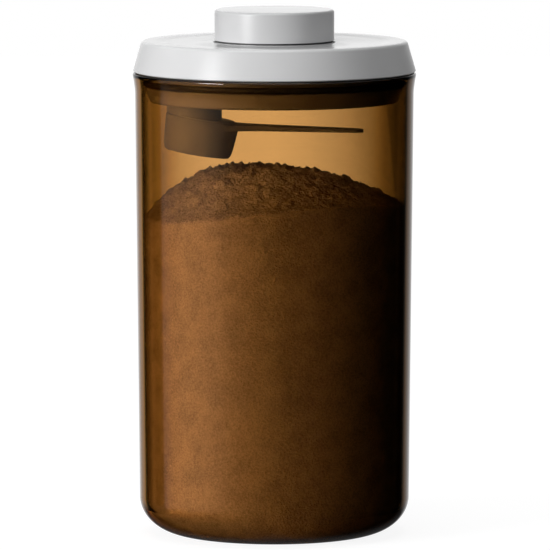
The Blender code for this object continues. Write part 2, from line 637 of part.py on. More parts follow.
def build_button_cap(material):
    """The button: a crowned cap with a stop lip inside the well and a screw boss."""
    round_middle = BUTTON_TOP - BUTTON_ROUND
    flat = BUTTON_RADIUS - BUTTON_ROUND
    lip_top = LID_CEILING - FIT_GAP
    lip_bottom = lip_top - BUTTON_LIP_HEIGHT
    inner = BUTTON_RADIUS - BUTTON_WALL
    hole = SCREW_RADIUS + SCREW_GAP
    hole_top = WEB_BOTTOM - FIT_GAP + BUTTON_SCREW_LENGTH + SCREW_TIP_ROOM
    outline = [(0, BUTTON_TOP + BUTTON_CROWN)]
    outline += [(flat * share, BUTTON_TOP + BUTTON_CROWN * (1 - share**2)) for share in BUTTON_CROWN_SHARES]
    outline += arc(flat, round_middle, BUTTON_ROUND, 90, 0, BUTTON_ROUND_STEPS)
    outline += [(BUTTON_RADIUS, lip_top), (BUTTON_RADIUS + BUTTON_LIP, lip_top)]
    outline += [(BUTTON_RADIUS + BUTTON_LIP, lip_bottom), (inner, lip_bottom)]
    outline += [(inner, round_middle), (flat, BUTTON_CEILING)]
    outline += [(BUTTON_BOSS_RADIUS, BUTTON_CEILING), (BUTTON_BOSS_RADIUS, BUTTON_BOSS_BOTTOM)]
    outline += [(hole, BUTTON_BOSS_BOTTOM), (hole, hole_top), (0, hole_top)]
    return turned("button_cap", outline, SIDES_MIDDLE, material, closed=False)


def build_plunger(material):
    """The plunger: a tube with the flange that presses the levers, and the latch's cam."""
    inner = PLUNGER_INNER_RADIUS
    hole = SCREW_RADIUS + SCREW_GAP
    flange_top = PLUNGER_BOTTOM + PLUNGER_FLANGE
    outline = [(PLUNGER_RADIUS, PLUNGER_TOP), (PLUNGER_RADIUS, flange_top)]
    outline += [(PLUNGER_FLANGE_RADIUS, flange_top), (PLUNGER_FLANGE_RADIUS, PLUNGER_BOTTOM)]
    outline += [(inner, PLUNGER_BOTTOM), (inner, WEB_BOTTOM), (hole, WEB_BOTTOM)]
    outline += [(hole, WEB_TOP), (inner, WEB_TOP), (inner, PLUNGER_TOP)]
    plunger = turned("button_plunger", outline, SIDES_NARROW, material)

    cam_inner = CAM_RADIUS - CAM_THICKNESS
    cam = box_outline(cam_inner, CAM_RADIUS, PLUNGER_BOTTOM, PLUNGER_BOTTOM + CAM_HEIGHT)
    cam_tool = extruded("cam", cam, -CAM_WIDTH / 2, CAM_WIDTH / 2, None)
    combine(plunger, spread_round(cam_tool, 1, EIGHTH_TURN), "UNION")
    web = box_outline(PLUNGER_RADIUS - PLUNGER_WALL / 2, cam_inner + CAM_THICKNESS / 4,
                      PLUNGER_BOTTOM + PLUNGER_FLANGE / 2, PLUNGER_BOTTOM + CAM_HEIGHT)
    web_tool = extruded("cam_web", web, -PLUNGER_WEB / 2, PLUNGER_WEB / 2, None)
    combine(plunger, spread_round(web_tool, 1, EIGHTH_TURN), "UNION")

    track_half = WIRE_RADIUS + CAM_TRACK_GAP
    slant = math.atan2(WIRE_SWAY, BUTTON_TRAVEL)
    tip_height = WIRE_AXIS + WIRE_LENGTH
    middle = tip_height + BUTTON_TRAVEL / 2
    half_run = math.hypot(WIRE_SWAY, BUTTON_TRAVEL) / 2 + track_half
    leaned = []
    for side, along in box_outline(-track_half, track_half, -half_run, half_run):
        across = side * math.cos(slant) + along * math.sin(slant)
        up = along * math.cos(slant) - side * math.sin(slant)
        leaned.append((across, middle + up))
    track_bottom = CAM_RADIUS - CAM_TRACK_DEPTH
    track_tool = extruded("track", leaned, track_bottom, CAM_RADIUS + CUT_OVERRUN, None)
    track_tool.rotation_euler.z = -QUARTER_TURN
    bpy.context.view_layer.update()
    mirror_side = Matrix.Scale(-1, 4, (0, 1, 0))
    track_tool.data.transform(track_tool.matrix_basis)
    track_tool.data.transform(mirror_side)
    track_tool.matrix_basis = Matrix.Identity(4)
    flip_faces(track_tool)
    return combine(plunger, spread_round(track_tool, 1, EIGHTH_TURN), "DIFFERENCE")


def flip_faces(piece):
    """Point the faces outwards again after a mirrored copy."""
    bm = bmesh.new()
    bm.from_mesh(piece.data)
    bmesh.ops.recalc_face_normals(bm, faces=bm.faces)
    bm.to_mesh(piece.data)
    bm.free()


def tube(name, points, radius, detail, material):
    """A round wire along a list of points, with filled ends, as a mesh."""
    curve = bpy.data.curves.new(name, "CURVE")
    curve.dimensions = "3D"
    curve.bevel_depth = radius
    curve.bevel_resolution = detail
    curve.use_fill_caps = True
    run = curve.splines.new("POLY")
    run.points.add(len(points) - 1)
    for place, point in zip(run.points, points):
        place.co = (*point, 1)
    holder = bpy.data.objects.new(name, curve)
    bpy.context.collection.objects.link(holder)
    bpy.context.view_layer.update()
    graph = bpy.context.evaluated_depsgraph_get()
    mesh = bpy.data.meshes.new_from_object(holder.evaluated_get(graph))
    bpy.data.objects.remove(holder, do_unlink=True)
    bm = bmesh.new()
    bm.from_mesh(mesh)
    bmesh.ops.remove_doubles(bm, verts=bm.verts, dist=radius / 100)
    bmesh.ops.recalc_face_normals(bm, faces=bm.faces)
    bm.to_mesh(mesh)
    bm.free()
    piece = add_piece(name, mesh, material)
    shade(piece)
    return piece


def build_spring(material):
    """The return spring stands on the hub round its post and lifts the plunger's web."""
    stub = 2 * SPRING_WIRE_RADIUS
    low = HUB_TOP + FIT_GAP
    high = WEB_BOTTOM - FIT_GAP
    count = round(SPRING_CURLS * SPRING_CURL_POINTS)
    points = [Vector((SPRING_RADIUS, 0, low))]
    for step in range(count + 1):
        turn = 2 * math.pi * step / SPRING_CURL_POINTS
        height = low + stub + (high - low - 2 * stub) * step / count
        points.append(Vector((SPRING_RADIUS * math.cos(turn), SPRING_RADIUS * math.sin(turn), height)))
    points.append(points[-1] + Vector((0, 0, stub)))
    pitch = (high - low - 2 * stub) / SPRING_CURLS
    print("spring: least gap to itself", round(1000 * (pitch - 2 * SPRING_WIRE_RADIUS), 2), "mm")
    print("spring: by points", round(1000 * coil_gap(points, SPRING_WIRE_RADIUS), 2), "mm")
    return tube("return_spring", points, SPRING_WIRE_RADIUS, 1, material)


def coil_gap(points, radius):
    """The least clear gap between stretches of the coil at least half a curl apart."""
    apart = SPRING_CURL_POINTS // 2
    gaps = []
    for first, point in enumerate(points):
        gaps += [(point - other).length for other in points[first + apart:]]
    return min(gaps) - 2 * radius


def build_latch_wire(material):
    """The latch wire: a leg in the frame's block, an upright, and a tip in the cam track."""
    bend = WIRE_BEND_RADIUS
    tip_end = CAM_RADIUS - CAM_TRACK_DEPTH + FIT_GAP
    points = [(WIRE_LEG_END_RADIUS, 0)]
    points += arc(WIRE_STAND_RADIUS + bend, bend, bend, 270, 180, WIRE_BEND_STEPS)
    points += arc(WIRE_STAND_RADIUS - bend, WIRE_LENGTH - bend, bend, 0, 90, WIRE_BEND_STEPS)
    points += [(tip_end, WIRE_LENGTH)]
    wire = tube("latch_wire", [Vector((out, 0, up)) for out, up in points], WIRE_RADIUS, 1, material)
    half_sway = math.asin(WIRE_SWAY / 2 / WIRE_LENGTH)
    wire.data.transform(Matrix.Rotation(half_sway, 4, "X"))
    wire.location.z = WIRE_AXIS
    wire.rotation_euler.z = EIGHTH_TURN
    return wire


def build_lever(material, place):
    """A rocker lever: a long arm under the plunger and a short nose under the plug's hook."""
    bar_at_hub = math.degrees(math.asin(LEVER_BAR / 2 / LEVER_HUB_RADIUS))
    bar_at_tip = math.degrees(math.asin(LEVER_BAR / 2 / LEVER_TIP_RADIUS))
    outline = arc(LEVER_NOSE_ARM, 0, LEVER_NOSE_RADIUS, -75, 75, 4)
    outline += arc(0, 0, LEVER_HUB_RADIUS, 62, 180 - bar_at_hub, 3)
    outline += arc(-LEVER_ARM, 0, LEVER_TIP_RADIUS, bar_at_tip, 360 - bar_at_tip, 8)
    outline += arc(0, 0, LEVER_HUB_RADIUS, 180 + bar_at_hub, 298, 3)
    name = f"rocker_lever_{place + 1}"
    lever = extruded(name, outline, -LEVER_WIDTH / 2, LEVER_WIDTH / 2, material)
    bore = rod("bore", PIN_RADIUS + FIT_GAP, -LEVER_WIDTH, LEVER_WIDTH, SIDES_SCREW)
    bore.rotation_euler.x = QUARTER_TURN
    bpy.context.view_layer.update()
    combine(lever, bore, "DIFFERENCE")
    turn = QUARTER_TURN * place
    out = Vector((math.cos(turn), math.sin(turn), 0)) * LEVER_PIVOT_RADIUS
    lever.location = out + Vector((0, 0, LEVER_PIVOT_HEIGHT))
    lever.rotation_euler = (0, LEVER_SWING / 2, turn)
    return lever


def build_lever_pin(material, place):
    half_length = LEVER_WIDTH / 2 + FIT_GAP + EAR_THICKNESS
    pin = pin_rod(f"lever_pin_{place + 1}", PIN_RADIUS, half_length, material)
    return spread_round(pin, 1, QUARTER_TURN * place)


def build_plug(material):
    """The plug cup under the lid: it carries the gasket, and the levers draw it up."""
    coaming_inner = PLUG_COAMING_RADIUS - PLUG_COAMING_WALL
    coaming_top = PLUG_SHOULDER + PLUG_COAMING_HEIGHT
    outline = [(0, PLUG_INSIDE), (coaming_inner - PLUG_FLOOR / 2, PLUG_INSIDE)]
    outline += [(coaming_inner, PLUG_INSIDE + PLUG_FLOOR / 2), (coaming_inner, coaming_top)]
    outline += [(PLUG_COAMING_RADIUS, coaming_top), (PLUG_COAMING_RADIUS, PLUG_SHOULDER)]
    outline += [(PLUG_RADIUS - PLUG_EDGE, PLUG_SHOULDER), (PLUG_RADIUS, PLUG_SHOULDER - PLUG_EDGE)]
    foot_centre = PLUG_FOOT_RADIUS - PLUG_ROUND
    outline += arc(foot_centre, PLUG_BOTTOM + PLUG_ROUND, PLUG_ROUND, 0, -90, PLUG_ROUND_STEPS)
    outline += [(0, PLUG_BOTTOM)]
    plug = turned("plug_cup", outline, SIDES_WIDE, material, closed=False)

    nose_out = LEVER_NOSE_ARM * math.cos(LEVER_SWING / 2)
    nose_top = LEVER_PIVOT_HEIGHT - LEVER_NOSE_ARM * math.sin(LEVER_SWING / 2) + LEVER_NOSE_RADIUS
    lip_bottom = nose_top + FIT_GAP
    lip_start = LEVER_PIVOT_RADIUS + nose_out
    post_start = HOOK_RADIUS - HOOK_POST
    root = PLUG_INSIDE - PLUG_FLOOR / 2
    hook = [(HOOK_RADIUS, root), (HOOK_RADIUS, lip_bottom + HOOK_LIP), (lip_start, lip_bottom + HOOK_LIP)]
    hook += [(lip_start, lip_bottom), (post_start, lip_bottom), (post_start, root)]
    half_width = LEVER_WIDTH / 2 - FIT_GAP
    hook_tool = extruded("hook", hook, -half_width, half_width, None)
    combine(plug, spread_round(hook_tool, LEVER_COUNT, 0), "UNION")

    for side in (-1, 1):
        hole = rod("screw_hole", SCREW_RADIUS + SCREW_GAP, PLUG_BOTTOM - CUT_OVERRUN,
                   PLUG_INSIDE + CUT_OVERRUN, SIDES_SCREW)
        hole.location = (HOLDER_NECK_X, side * HOLDER_SCREW_SPREAD, 0)
        combine(plug, hole, "DIFFERENCE")
    return plug


def build_gasket(material):
    """The gasket: a soft ring whose bulge meets the jar's wall when the plug squeezes it."""
    middle = (GASKET_TOP + GASKET_BOTTOM) / 2
    bulge = GASKET_RADIUS - PLUG_RADIUS
    outline = [(GASKET_INNER_RADIUS, GASKET_TOP)]
    for step in range(GASKET_STEPS + 1):
        turn = math.pi * step / GASKET_STEPS
        height = middle + GASKET_HEIGHT / 2 * math.cos(turn)
        outline.append((PLUG_RADIUS + bulge * math.sin(turn), height))
    outline.append((GASKET_INNER_RADIUS, GASKET_BOTTOM))
    return turned("gasket", outline, SIDES_WIDE, material)


def scoop_frame():
    """The scoop cup's own frame: its rim's centre, leaned over with its axis."""
    place = Vector((SCOOP_RIM_X, 0, SCOOP_RIM_HEIGHT))
    return Matrix.Translation(place) @ Matrix.Rotation(SCOOP_TILT, 4, "Y")


def build_holder(material):
    """The scoop holder: a neck under the plug cup with a stopper that grips the scoop's mouth."""
    neck = rod("scoop_holder", HOLDER_NECK_RADIUS, SCOOP_RIM_HEIGHT - SCOOP_DEPTH,
               PLUG_BOTTOM - FIT_GAP, SIDES_NARROW, material)
    neck.location.x = HOLDER_NECK_X
    bpy.context.view_layer.update()
    spread_round(neck, 1, 0)
    side = 2 * SCOOP_RIM_RADIUS
    below = extruded("below_rim", box_outline(-side, side, -2 * SCOOP_DEPTH, FIT_GAP), -side, side, None)
    below.matrix_basis = scoop_frame()
    bpy.context.view_layer.update()
    combine(neck, below, "DIFFERENCE")
    stopper_radius = scoop_outer_radius(1 - HOLDER_PLUG_DEPTH / SCOOP_DEPTH) - SCOOP_WALL - FIT_GAP
    stopper = rod("stopper", stopper_radius, -HOLDER_PLUG_DEPTH, HOLDER_PLUG_TOP, SIDES_NARROW)
    core_radius = stopper_radius - HOLDER_PLUG_WALL
    core_top = HOLDER_CORE_DEPTH - HOLDER_PLUG_DEPTH
    core = rod("core", core_radius, -HOLDER_PLUG_DEPTH - CUT_OVERRUN, core_top, SIDES_NARROW)
    combine(stopper, core, "DIFFERENCE")
    stopper.matrix_basis = scoop_frame()
    bpy.context.view_layer.update()
    combine(neck, stopper, "UNION")
    hole_bottom = PLUG_INSIDE + FIT_GAP - HOLDER_SCREW_LENGTH - SCREW_TIP_ROOM
    for direction in (-1, 1):
        hole = rod("pilot", SCREW_RADIUS + SCREW_GAP, hole_bottom, PLUG_BOTTOM + CUT_OVERRUN, SIDES_SCREW)
        hole.location = (HOLDER_NECK_X, direction * HOLDER_SCREW_SPREAD, 0)
        combine(neck, hole, "DIFFERENCE")
    return neck


def scoop_outer_radius(share):
    """The cup's outer radius at a share of its depth, from 0 at its foot to 1 at its rim."""
    heights = (0,) + SCOOP_WALL_HEIGHT_SHARES + (1,)
    spreads = (0,) + SCOOP_WALL_RADIUS_SHARES + (1,)
    for low, high, first, second in zip(heights, heights[1:], spreads, spreads[1:]):
        if share <= high:
            spread = first + (second - first) * (share - low) / (high - low)
            return SCOOP_FOOT_RADIUS + (SCOOP_RIM_RADIUS - SCOOP_FOOT_RADIUS) * spread
    return SCOOP_RIM_RADIUS


def build_scoop(material):
    """The scoop: a round-bottomed cup and a flat handle that flares into the cup's side."""
    shares = SCOOP_WALL_HEIGHT_SHARES
    outer = [(scoop_outer_radius(share), SCOOP_DEPTH * (share - 1)) for share in reversed(shares)]
    floor = SCOOP_WALL - SCOOP_DEPTH
    inner = []
    for share in shares[1:]:
        height = floor + (SCOOP_DEPTH - SCOOP_WALL) * share
        inner.append((scoop_outer_radius(1 + height / SCOOP_DEPTH) - SCOOP_WALL, height))
    outline = [(0, floor), (SCOOP_FOOT_RADIUS - SCOOP_WALL, floor)] + inner
    outline += [(SCOOP_RIM_RADIUS - SCOOP_WALL, 0), (SCOOP_RIM_RADIUS, 0)] + outer
    outline += [(SCOOP_FOOT_RADIUS, -SCOOP_DEPTH), (0, -SCOOP_DEPTH)]
    cup = turned("scoop", outline, SIDES_MIDDLE, material, closed=False)
    cup.matrix_basis = scoop_frame()
    bpy.context.view_layer.update()
    combine(cup, build_handle(), "UNION")
    return cup


def build_handle():
    """The scoop's handle, thinner and narrower towards its round end."""
    root_radius = SCOOP_RIM_RADIUS - SCOOP_WALL / 2
    root = []
    for step in range(HANDLE_ARC_STEPS + 1):
        turn = HANDLE_ROOT_TURN * (1 - 2 * step / HANDLE_ARC_STEPS)
        root.append((SCOOP_RIM_X + root_radius * math.cos(turn), root_radius * math.sin(turn)))
    start = SCOOP_RIM_X + root_radius * math.cos(HANDLE_ROOT_TURN)
    end = SCOOP_RIM_X + SCOOP_REACH
    root_half = root_radius * math.sin(HANDLE_ROOT_TURN)
    end_centre = end - HANDLE_END_WIDTH / 2
    sides = []
    for along_share, spread_share in HANDLE_FLARE_SHARES:
        across = start + (end_centre - start) * along_share
        half = HANDLE_WIDTH / 2 + (root_half - HANDLE_WIDTH / 2) * spread_share
        sides.append((across, half))
    tip = arc(end_centre, 0, HANDLE_END_WIDTH / 2, -90, 90, HANDLE_ARC_STEPS)
    outline = root + [(across, -half) for across, half in sides] + tip + list(reversed(sides))
    top_start = SCOOP_RIM_HEIGHT - HANDLE_TOP_BELOW_RIM
    cup_side = SCOOP_RIM_X + SCOOP_RIM_RADIUS
    bm = bmesh.new()
    lower = []
    upper = []
    for across, along in outline:
        share = (across - cup_side) / (end - cup_side)
        top = top_start - HANDLE_DROP * share
        thickness = HANDLE_ROOT_THICKNESS + (HANDLE_END_THICKNESS - HANDLE_ROOT_THICKNESS) * share
        lower.append(bm.verts.new((across, along, top - thickness)))
        upper.append(bm.verts.new((across, along, top)))
    bm.faces.new(lower)
    bm.faces.new(list(reversed(upper)))
    for place in range(len(outline)):
        after = (place + 1) % len(outline)
        bm.faces.new((lower[after], lower[place], upper[place], upper[after]))
    bmesh.ops.recalc_face_normals(bm, faces=bm.faces)
    mesh = bpy.data.meshes.new("handle")
    bm.to_mesh(mesh)
    bm.free()
    return add_piece("handle", mesh, None)


def build_screw(name, place, length, head, head_up, material):
    """A pan-head screw: place is the centre of the face under its head."""
    outline = [(0, head), (SCREW_HEAD_RADIUS - SCREW_HEAD_EDGE, head)]
    outline += [(SCREW_HEAD_RADIUS, head - SCREW_HEAD_EDGE), (SCREW_HEAD_RADIUS, 0)]
    outline += [(SCREW_RADIUS, 0), (SCREW_RADIUS, SCREW_HEAD_EDGE - length)]
    outline += [(SCREW_RADIUS - SCREW_HEAD_EDGE, -length), (0, -length)]
    screw = turned(name, outline, SIDES_SCREW, material, closed=False)
    if not head_up:
        screw.data.transform(Matrix.Rotation(math.pi, 4, "X"))
    screw.location = place
    return screw


def build_all():
    clear_scene()
    amber = finish("amber_plastic", (0.30, 0.13, 0.035), 0.05, alpha=0.45)
    white = finish("white_plastic", (0.82, 0.82, 0.82), 0.30)
    inner_grey = finish("inner_plastic", (0.22, 0.215, 0.205), 0.40)
    smoke = finish("smoke_plastic", (0.40, 0.38, 0.36), 0.15, alpha=0.8)
    grey = finish("grey_plastic", (0.155, 0.152, 0.150), 0.35)
    rubber = finish("gasket_rubber", (0.045, 0.042, 0.040), 0.60)
    steel = finish("steel", (0.60, 0.60, 0.60), 0.30, metallic=1.0)
    cream = finish("milk_powder", (0.74, 0.63, 0.52), 0.95)

    build_jar(amber)
    build_powder(cream)

    lid = group_parent("lid_parent", (0, 0, LID_BOTTOM))
    cover = build_lid_cover(white)
    frame = build_frame(inner_grey)
    gasket = build_gasket(rubber)
    spring = build_spring(steel)
    wire = build_latch_wire(steel)
    levers = [build_lever(grey, place) for place in range(LEVER_COUNT)]
    pins = [build_lever_pin(steel, place) for place in range(LEVER_COUNT)]
    frame_screws = []
    for place in range(LEVER_COUNT):
        turn = EIGHTH_TURN + QUARTER_TURN * place
        out = Vector((math.cos(turn), math.sin(turn), 0)) * SCREW_RING_RADIUS
        spot = out + Vector((0, 0, PLATE_BOTTOM - FIT_GAP))
        name = f"frame_screw_{place + 1}"
        frame_screws.append(build_screw(name, spot, FRAME_SCREW_LENGTH, SCREW_HEAD, False, steel))
    hang_on(lid, [cover, frame, gasket, spring, wire] + levers + pins + frame_screws)

    button = group_parent("button_parent", (0, 0, DISH_TOP))
    cap = build_button_cap(white)
    plunger = build_plunger(inner_grey)
    button_spot = (0, 0, WEB_BOTTOM - FIT_GAP)
    cap_screw = build_screw("button_screw", button_spot, BUTTON_SCREW_LENGTH, SCREW_HEAD, False, steel)
    hang_on(button, [cap, plunger, cap_screw])

    plug_parent = group_parent("plug_parent", (0, 0, PLUG_BOTTOM))
    plug = build_plug(smoke)
    holder = build_holder(grey)
    holder_screws = []
    for place, side in enumerate((-1, 1)):
        spot = (HOLDER_NECK_X, side * HOLDER_SCREW_SPREAD, PLUG_INSIDE + FIT_GAP)
        name = f"holder_screw_{place + 1}"
        holder_screws.append(build_screw(name, spot, HOLDER_SCREW_LENGTH, HOLDER_SCREW_HEAD, True, steel))
    scoop = build_scoop(grey)
    hang_on(plug_parent, [plug, holder, scoop] + holder_screws)
    hang_on(lid, [button, plug_parent])


build_all()
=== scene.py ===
"""The looks of a formula powder container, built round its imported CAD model.

Lengths are in metres, +Z is up, the jar stands on the origin and -Y faces the photograph.
The sections follow the container as it is put together, from the jar to the lid.
"""

import json
import math

import bpy
from mathutils import Matrix, Vector, noise

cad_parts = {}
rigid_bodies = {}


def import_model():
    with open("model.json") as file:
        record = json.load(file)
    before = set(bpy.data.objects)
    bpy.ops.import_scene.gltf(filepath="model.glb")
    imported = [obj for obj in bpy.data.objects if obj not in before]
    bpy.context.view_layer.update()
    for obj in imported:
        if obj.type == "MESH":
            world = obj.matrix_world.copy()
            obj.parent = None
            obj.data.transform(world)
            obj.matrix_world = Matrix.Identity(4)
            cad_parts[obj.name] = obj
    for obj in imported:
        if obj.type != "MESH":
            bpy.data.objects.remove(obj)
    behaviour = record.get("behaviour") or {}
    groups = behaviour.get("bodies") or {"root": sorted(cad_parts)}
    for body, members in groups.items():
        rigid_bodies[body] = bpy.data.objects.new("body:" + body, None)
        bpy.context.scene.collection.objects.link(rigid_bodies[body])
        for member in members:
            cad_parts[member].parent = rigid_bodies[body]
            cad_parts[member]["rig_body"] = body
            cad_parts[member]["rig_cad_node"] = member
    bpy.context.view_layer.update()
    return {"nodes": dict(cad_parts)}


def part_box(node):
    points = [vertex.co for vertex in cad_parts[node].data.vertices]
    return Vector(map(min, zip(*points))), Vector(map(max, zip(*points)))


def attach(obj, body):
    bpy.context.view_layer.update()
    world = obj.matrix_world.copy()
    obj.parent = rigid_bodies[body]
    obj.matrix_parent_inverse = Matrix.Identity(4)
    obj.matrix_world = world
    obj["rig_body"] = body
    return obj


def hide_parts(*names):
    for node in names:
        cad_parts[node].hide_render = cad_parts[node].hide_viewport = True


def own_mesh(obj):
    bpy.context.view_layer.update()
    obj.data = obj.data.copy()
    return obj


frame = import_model()

# Jar
# A round canister of clear brown plastic, injection moulded in one piece with a drafted wall,
# a mouth that flares a little and a wide oval corner down to its foot ring.

jar_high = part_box("container_body")[1]
RIM_RADIUS = jar_high.x
JAR_TOP = jar_high.z
FLARE_SPREAD = 0.0011
FLARE_CURVE = 1.5
JAR_DRAFT = 0.0019
NECK_RADIUS = RIM_RADIUS - FLARE_SPREAD
FOOT_RADIUS = NECK_RADIUS - JAR_DRAFT
JAR_WALL = 0.0030
JAR_FLARE = 0.0095
LIP_RADIUS = 0.0010
LIP_SIDE = 60
CORNER_ACROSS = 0.0205
CORNER_UP = 0.0170
JAR_RECESS = 0.0008
JAR_FLOOR = 0.0027
FOOT_WIDTH = 0.0045
SMOOTH_SIDES = 192
FLARE_STEPS = 8
MERGE_DISTANCE = 0.000005
SEED_SIZE = 0.01

# A row of tints holds how squarely light meets the wall, from 0 along it to 1 straight on, and
# the shares of red, green and blue that pass. Powder stands behind the outside tints alone;
# the clear headspace is seen through both.
OUTSIDE_TINTS = (
    (0.02, 0.03, 0.006, 0.0002), (0.178, 0.10, 0.020, 0.0008), (0.218, 0.30, 0.060, 0.002),
    (0.247, 0.50, 0.105, 0.004), (0.290, 0.72, 0.155, 0.006), (0.302, 0.041, 0.0155, 0.0019),
    (0.340, 0.034, 0.013, 0.0012), (0.378, 0.078, 0.030, 0.0037), (0.410, 0.124, 0.047, 0.006),
    (0.440, 0.180, 0.069, 0.010), (0.482, 0.130, 0.048, 0.0056), (0.519, 0.138, 0.053, 0.006),
    (0.553, 0.156, 0.059, 0.0074), (0.604, 0.277, 0.105, 0.013), (0.665, 0.407, 0.165, 0.026),
    (0.737, 0.520, 0.242, 0.055), (0.850, 0.640, 0.310, 0.085), (0.917, 0.690, 0.345, 0.100),
    (1, 0.718, 0.362, 0.108))
INSIDE_TINTS = (
    (0.10, 0.115, 0.045, 0.0042), (0.237, 0.30, 0.115, 0.013), (0.290, 0.39, 0.148, 0.018),
    (0.335, 0.468, 0.181, 0.026), (0.394, 0.337, 0.126, 0.0145), (0.441, 0.358, 0.137, 0.016),
    (0.486, 0.405, 0.153, 0.0194), (0.549, 0.277, 0.105, 0.013), (0.621, 0.407, 0.165, 0.026),
    (0.705, 0.520, 0.242, 0.055), (0.832, 0.640, 0.310, 0.085), (0.908, 0.690, 0.345, 0.100),
    (1, 0.718, 0.362, 0.108))
# Round the foot the tints are paler: painted light that lifts the powder's lower corner, which faces down
# and gets less light.
FOOT_PAINTED_LIGHT_TINTS = (
    (0.05, 0.05, 0.015, 0.001), (0.38, 0.30, 0.120, 0.018), (0.50, 0.72, 0.350, 0.100),
    (1, 0.718, 0.362, 0.108))
FOOT_TINT_END = 0.004
PACKED_TOP = 0.0125
WALL_SHADOW_TINT = (0.495, 0.415, 0.300)
WALL_LAMP_POWER = 5.2
PLASTIC_IOR = 1.53
PACKED_IOR = 1.0
UNDERSIDE_FACING = -0.5


def turned_piece(name, outline, sides, smooth_angle=30):
    """Pull one point along an outline of (radius, height) and spin the line round the Z axis."""
    bpy.ops.object.select_all(action="DESELECT")
    bpy.ops.mesh.primitive_plane_add(size=SEED_SIZE)
    piece = bpy.context.active_object
    piece.name = name
    bpy.ops.object.mode_set(mode="EDIT")
    bpy.ops.mesh.select_all(action="SELECT")
    bpy.ops.mesh.merge(type="CENTER")
    bpy.ops.transform.translate(value=(outline[0][0], 0, outline[0][1]))
    for (radius, height), (next_radius, next_height) in zip(outline, outline[1:]):
        step = {"value": (next_radius - radius, 0, next_height - height)}
        bpy.ops.mesh.extrude_region_move(TRANSFORM_OT_translate=step)
    bpy.ops.mesh.select_all(action="SELECT")
    bpy.ops.mesh.spin(steps=sides, angle=2 * math.pi, center=(0, 0, 0), axis=(0, 0, 1))
    bpy.ops.mesh.select_all(action="SELECT")
    bpy.ops.mesh.remove_doubles(threshold=MERGE_DISTANCE)
    bpy.ops.mesh.normals_make_consistent(inside=False)
    bpy.ops.object.mode_set(mode="OBJECT")
    bpy.ops.object.shade_smooth_by_angle(angle=math.radians(smooth_angle))
    return piece


def bow(centre_radius, centre_height, across, up, start, end, steps):
    """Points on an oval arc between two angles in degrees, where 0 is outwards and 90 is up."""
    turns = [math.radians(start + (end - start) * step / steps) for step in range(steps + 1)]
    return [(centre_radius + across * math.cos(turn), centre_height + up * math.sin(turn)) for turn in turns]


def finish_nodes(name):
    """A new material and its parts: nodes, links and the Principled shader."""
    made = bpy.data.materials.new(name)
    made.use_nodes = True
    tree = made.node_tree
    return made, tree.nodes, tree.links, tree.nodes["Principled BSDF"]


def worked_out(nodes, links, operation, first, second):
    """A maths node between two values, either of which may be a plain number."""
    step = nodes.new("ShaderNodeMath")
    step.operation = operation
    for socket, value in zip(step.inputs, (first, second)):
        if isinstance(value, (int, float)):
            socket.default_value = value
        else:
            links.new(value, socket)
    return step.outputs[0]


def mapped(nodes, links, value, start, end, low=0.0, high=1.0):
    """A value that runs evenly from low to high between start and end, and is held outside."""
    step = nodes.new("ShaderNodeMapRange")
    for name, setting in (("From Min", start), ("From Max", end), ("To Min", low), ("To Max", high)):
        step.inputs[name].default_value = setting
    links.new(value, step.inputs["Value"])
    return step.outputs["Result"]


def scaled(nodes, links, colour, share):
    """A colour, plain or worked out, times a worked-out share."""
    step = nodes.new("ShaderNodeVectorMath")
    step.operation = "SCALE"
    if isinstance(colour, tuple):
        step.inputs[0].default_value = colour
    else:
        links.new(colour, step.inputs[0])
    links.new(share, step.inputs["Scale"])
    return step.outputs[0]


def mixed(nodes, links, share, first, second):
    """A colour between two colours, either of which may be a plain one."""
    step = nodes.new("ShaderNodeMix")
    step.data_type = "RGBA"
    links.new(share, step.inputs["Factor"])
    for name, colour in (("A", first), ("B", second)):
        if isinstance(colour, tuple):
            step.inputs[name].default_value = (*colour, 1)
        else:
            links.new(colour, step.inputs[name])
    return step.outputs["Result"]


def colour_ramp(nodes, links, value, stops):
    """A colour that runs through stops of (position, colour) as a value goes from 0 to 1."""
    ramp = nodes.new("ShaderNodeValToRGB")
    elements = ramp.color_ramp.elements
    for element, (position, colour) in zip(elements, (stops[0], stops[-1])):
        element.position = position
        element.color = (*colour, 1)
    for position, colour in stops[1:-1]:
        elements.new(position).color = (*colour, 1)
    links.new(value, ramp.inputs["Fac"])
    return ramp.outputs["Color"]


def blended(nodes, links, share, first, second):
    """A shader between two shaders."""
    step = nodes.new("ShaderNodeMixShader")
    for socket, value in zip(step.inputs, (share, first, second)):
        links.new(value, socket)
    return step.outputs[0]


def along_surface(nodes):
    """0 where light meets a surface straight on and 1 where it runs along it."""
    weight = nodes.new("ShaderNodeLayerWeight")
    weight.inputs["Blend"].default_value = 0.5
    return weight.outputs["Facing"]


def tinted_on_entry(nodes, links, tints):
    """The plastic's tint as light enters the plastic, and none as it leaves; round the foot it is paler, as
    painted light on the powder's shaded lower corner.
    """
    facing = along_surface(nodes)
    ramps = []
    for rows in (FOOT_PAINTED_LIGHT_TINTS, tints):
        stops = [(1 - squarely, colour) for squarely, *colour in reversed(rows)]
        ramps.append(colour_ramp(nodes, links, facing, stops))
    coordinate = nodes.new("ShaderNodeTexCoord")
    place = nodes.new("ShaderNodeSeparateXYZ")
    links.new(coordinate.outputs["Object"], place.inputs[0])
    height = mapped(nodes, links, place.outputs["Z"], FOOT_TINT_END, CORNER_UP)
    wall = mixed(nodes, links, height, *ramps)
    side = nodes.new("ShaderNodeNewGeometry")
    return mixed(nodes, links, side.outputs["Backfacing"], wall, (1, 1, 1))


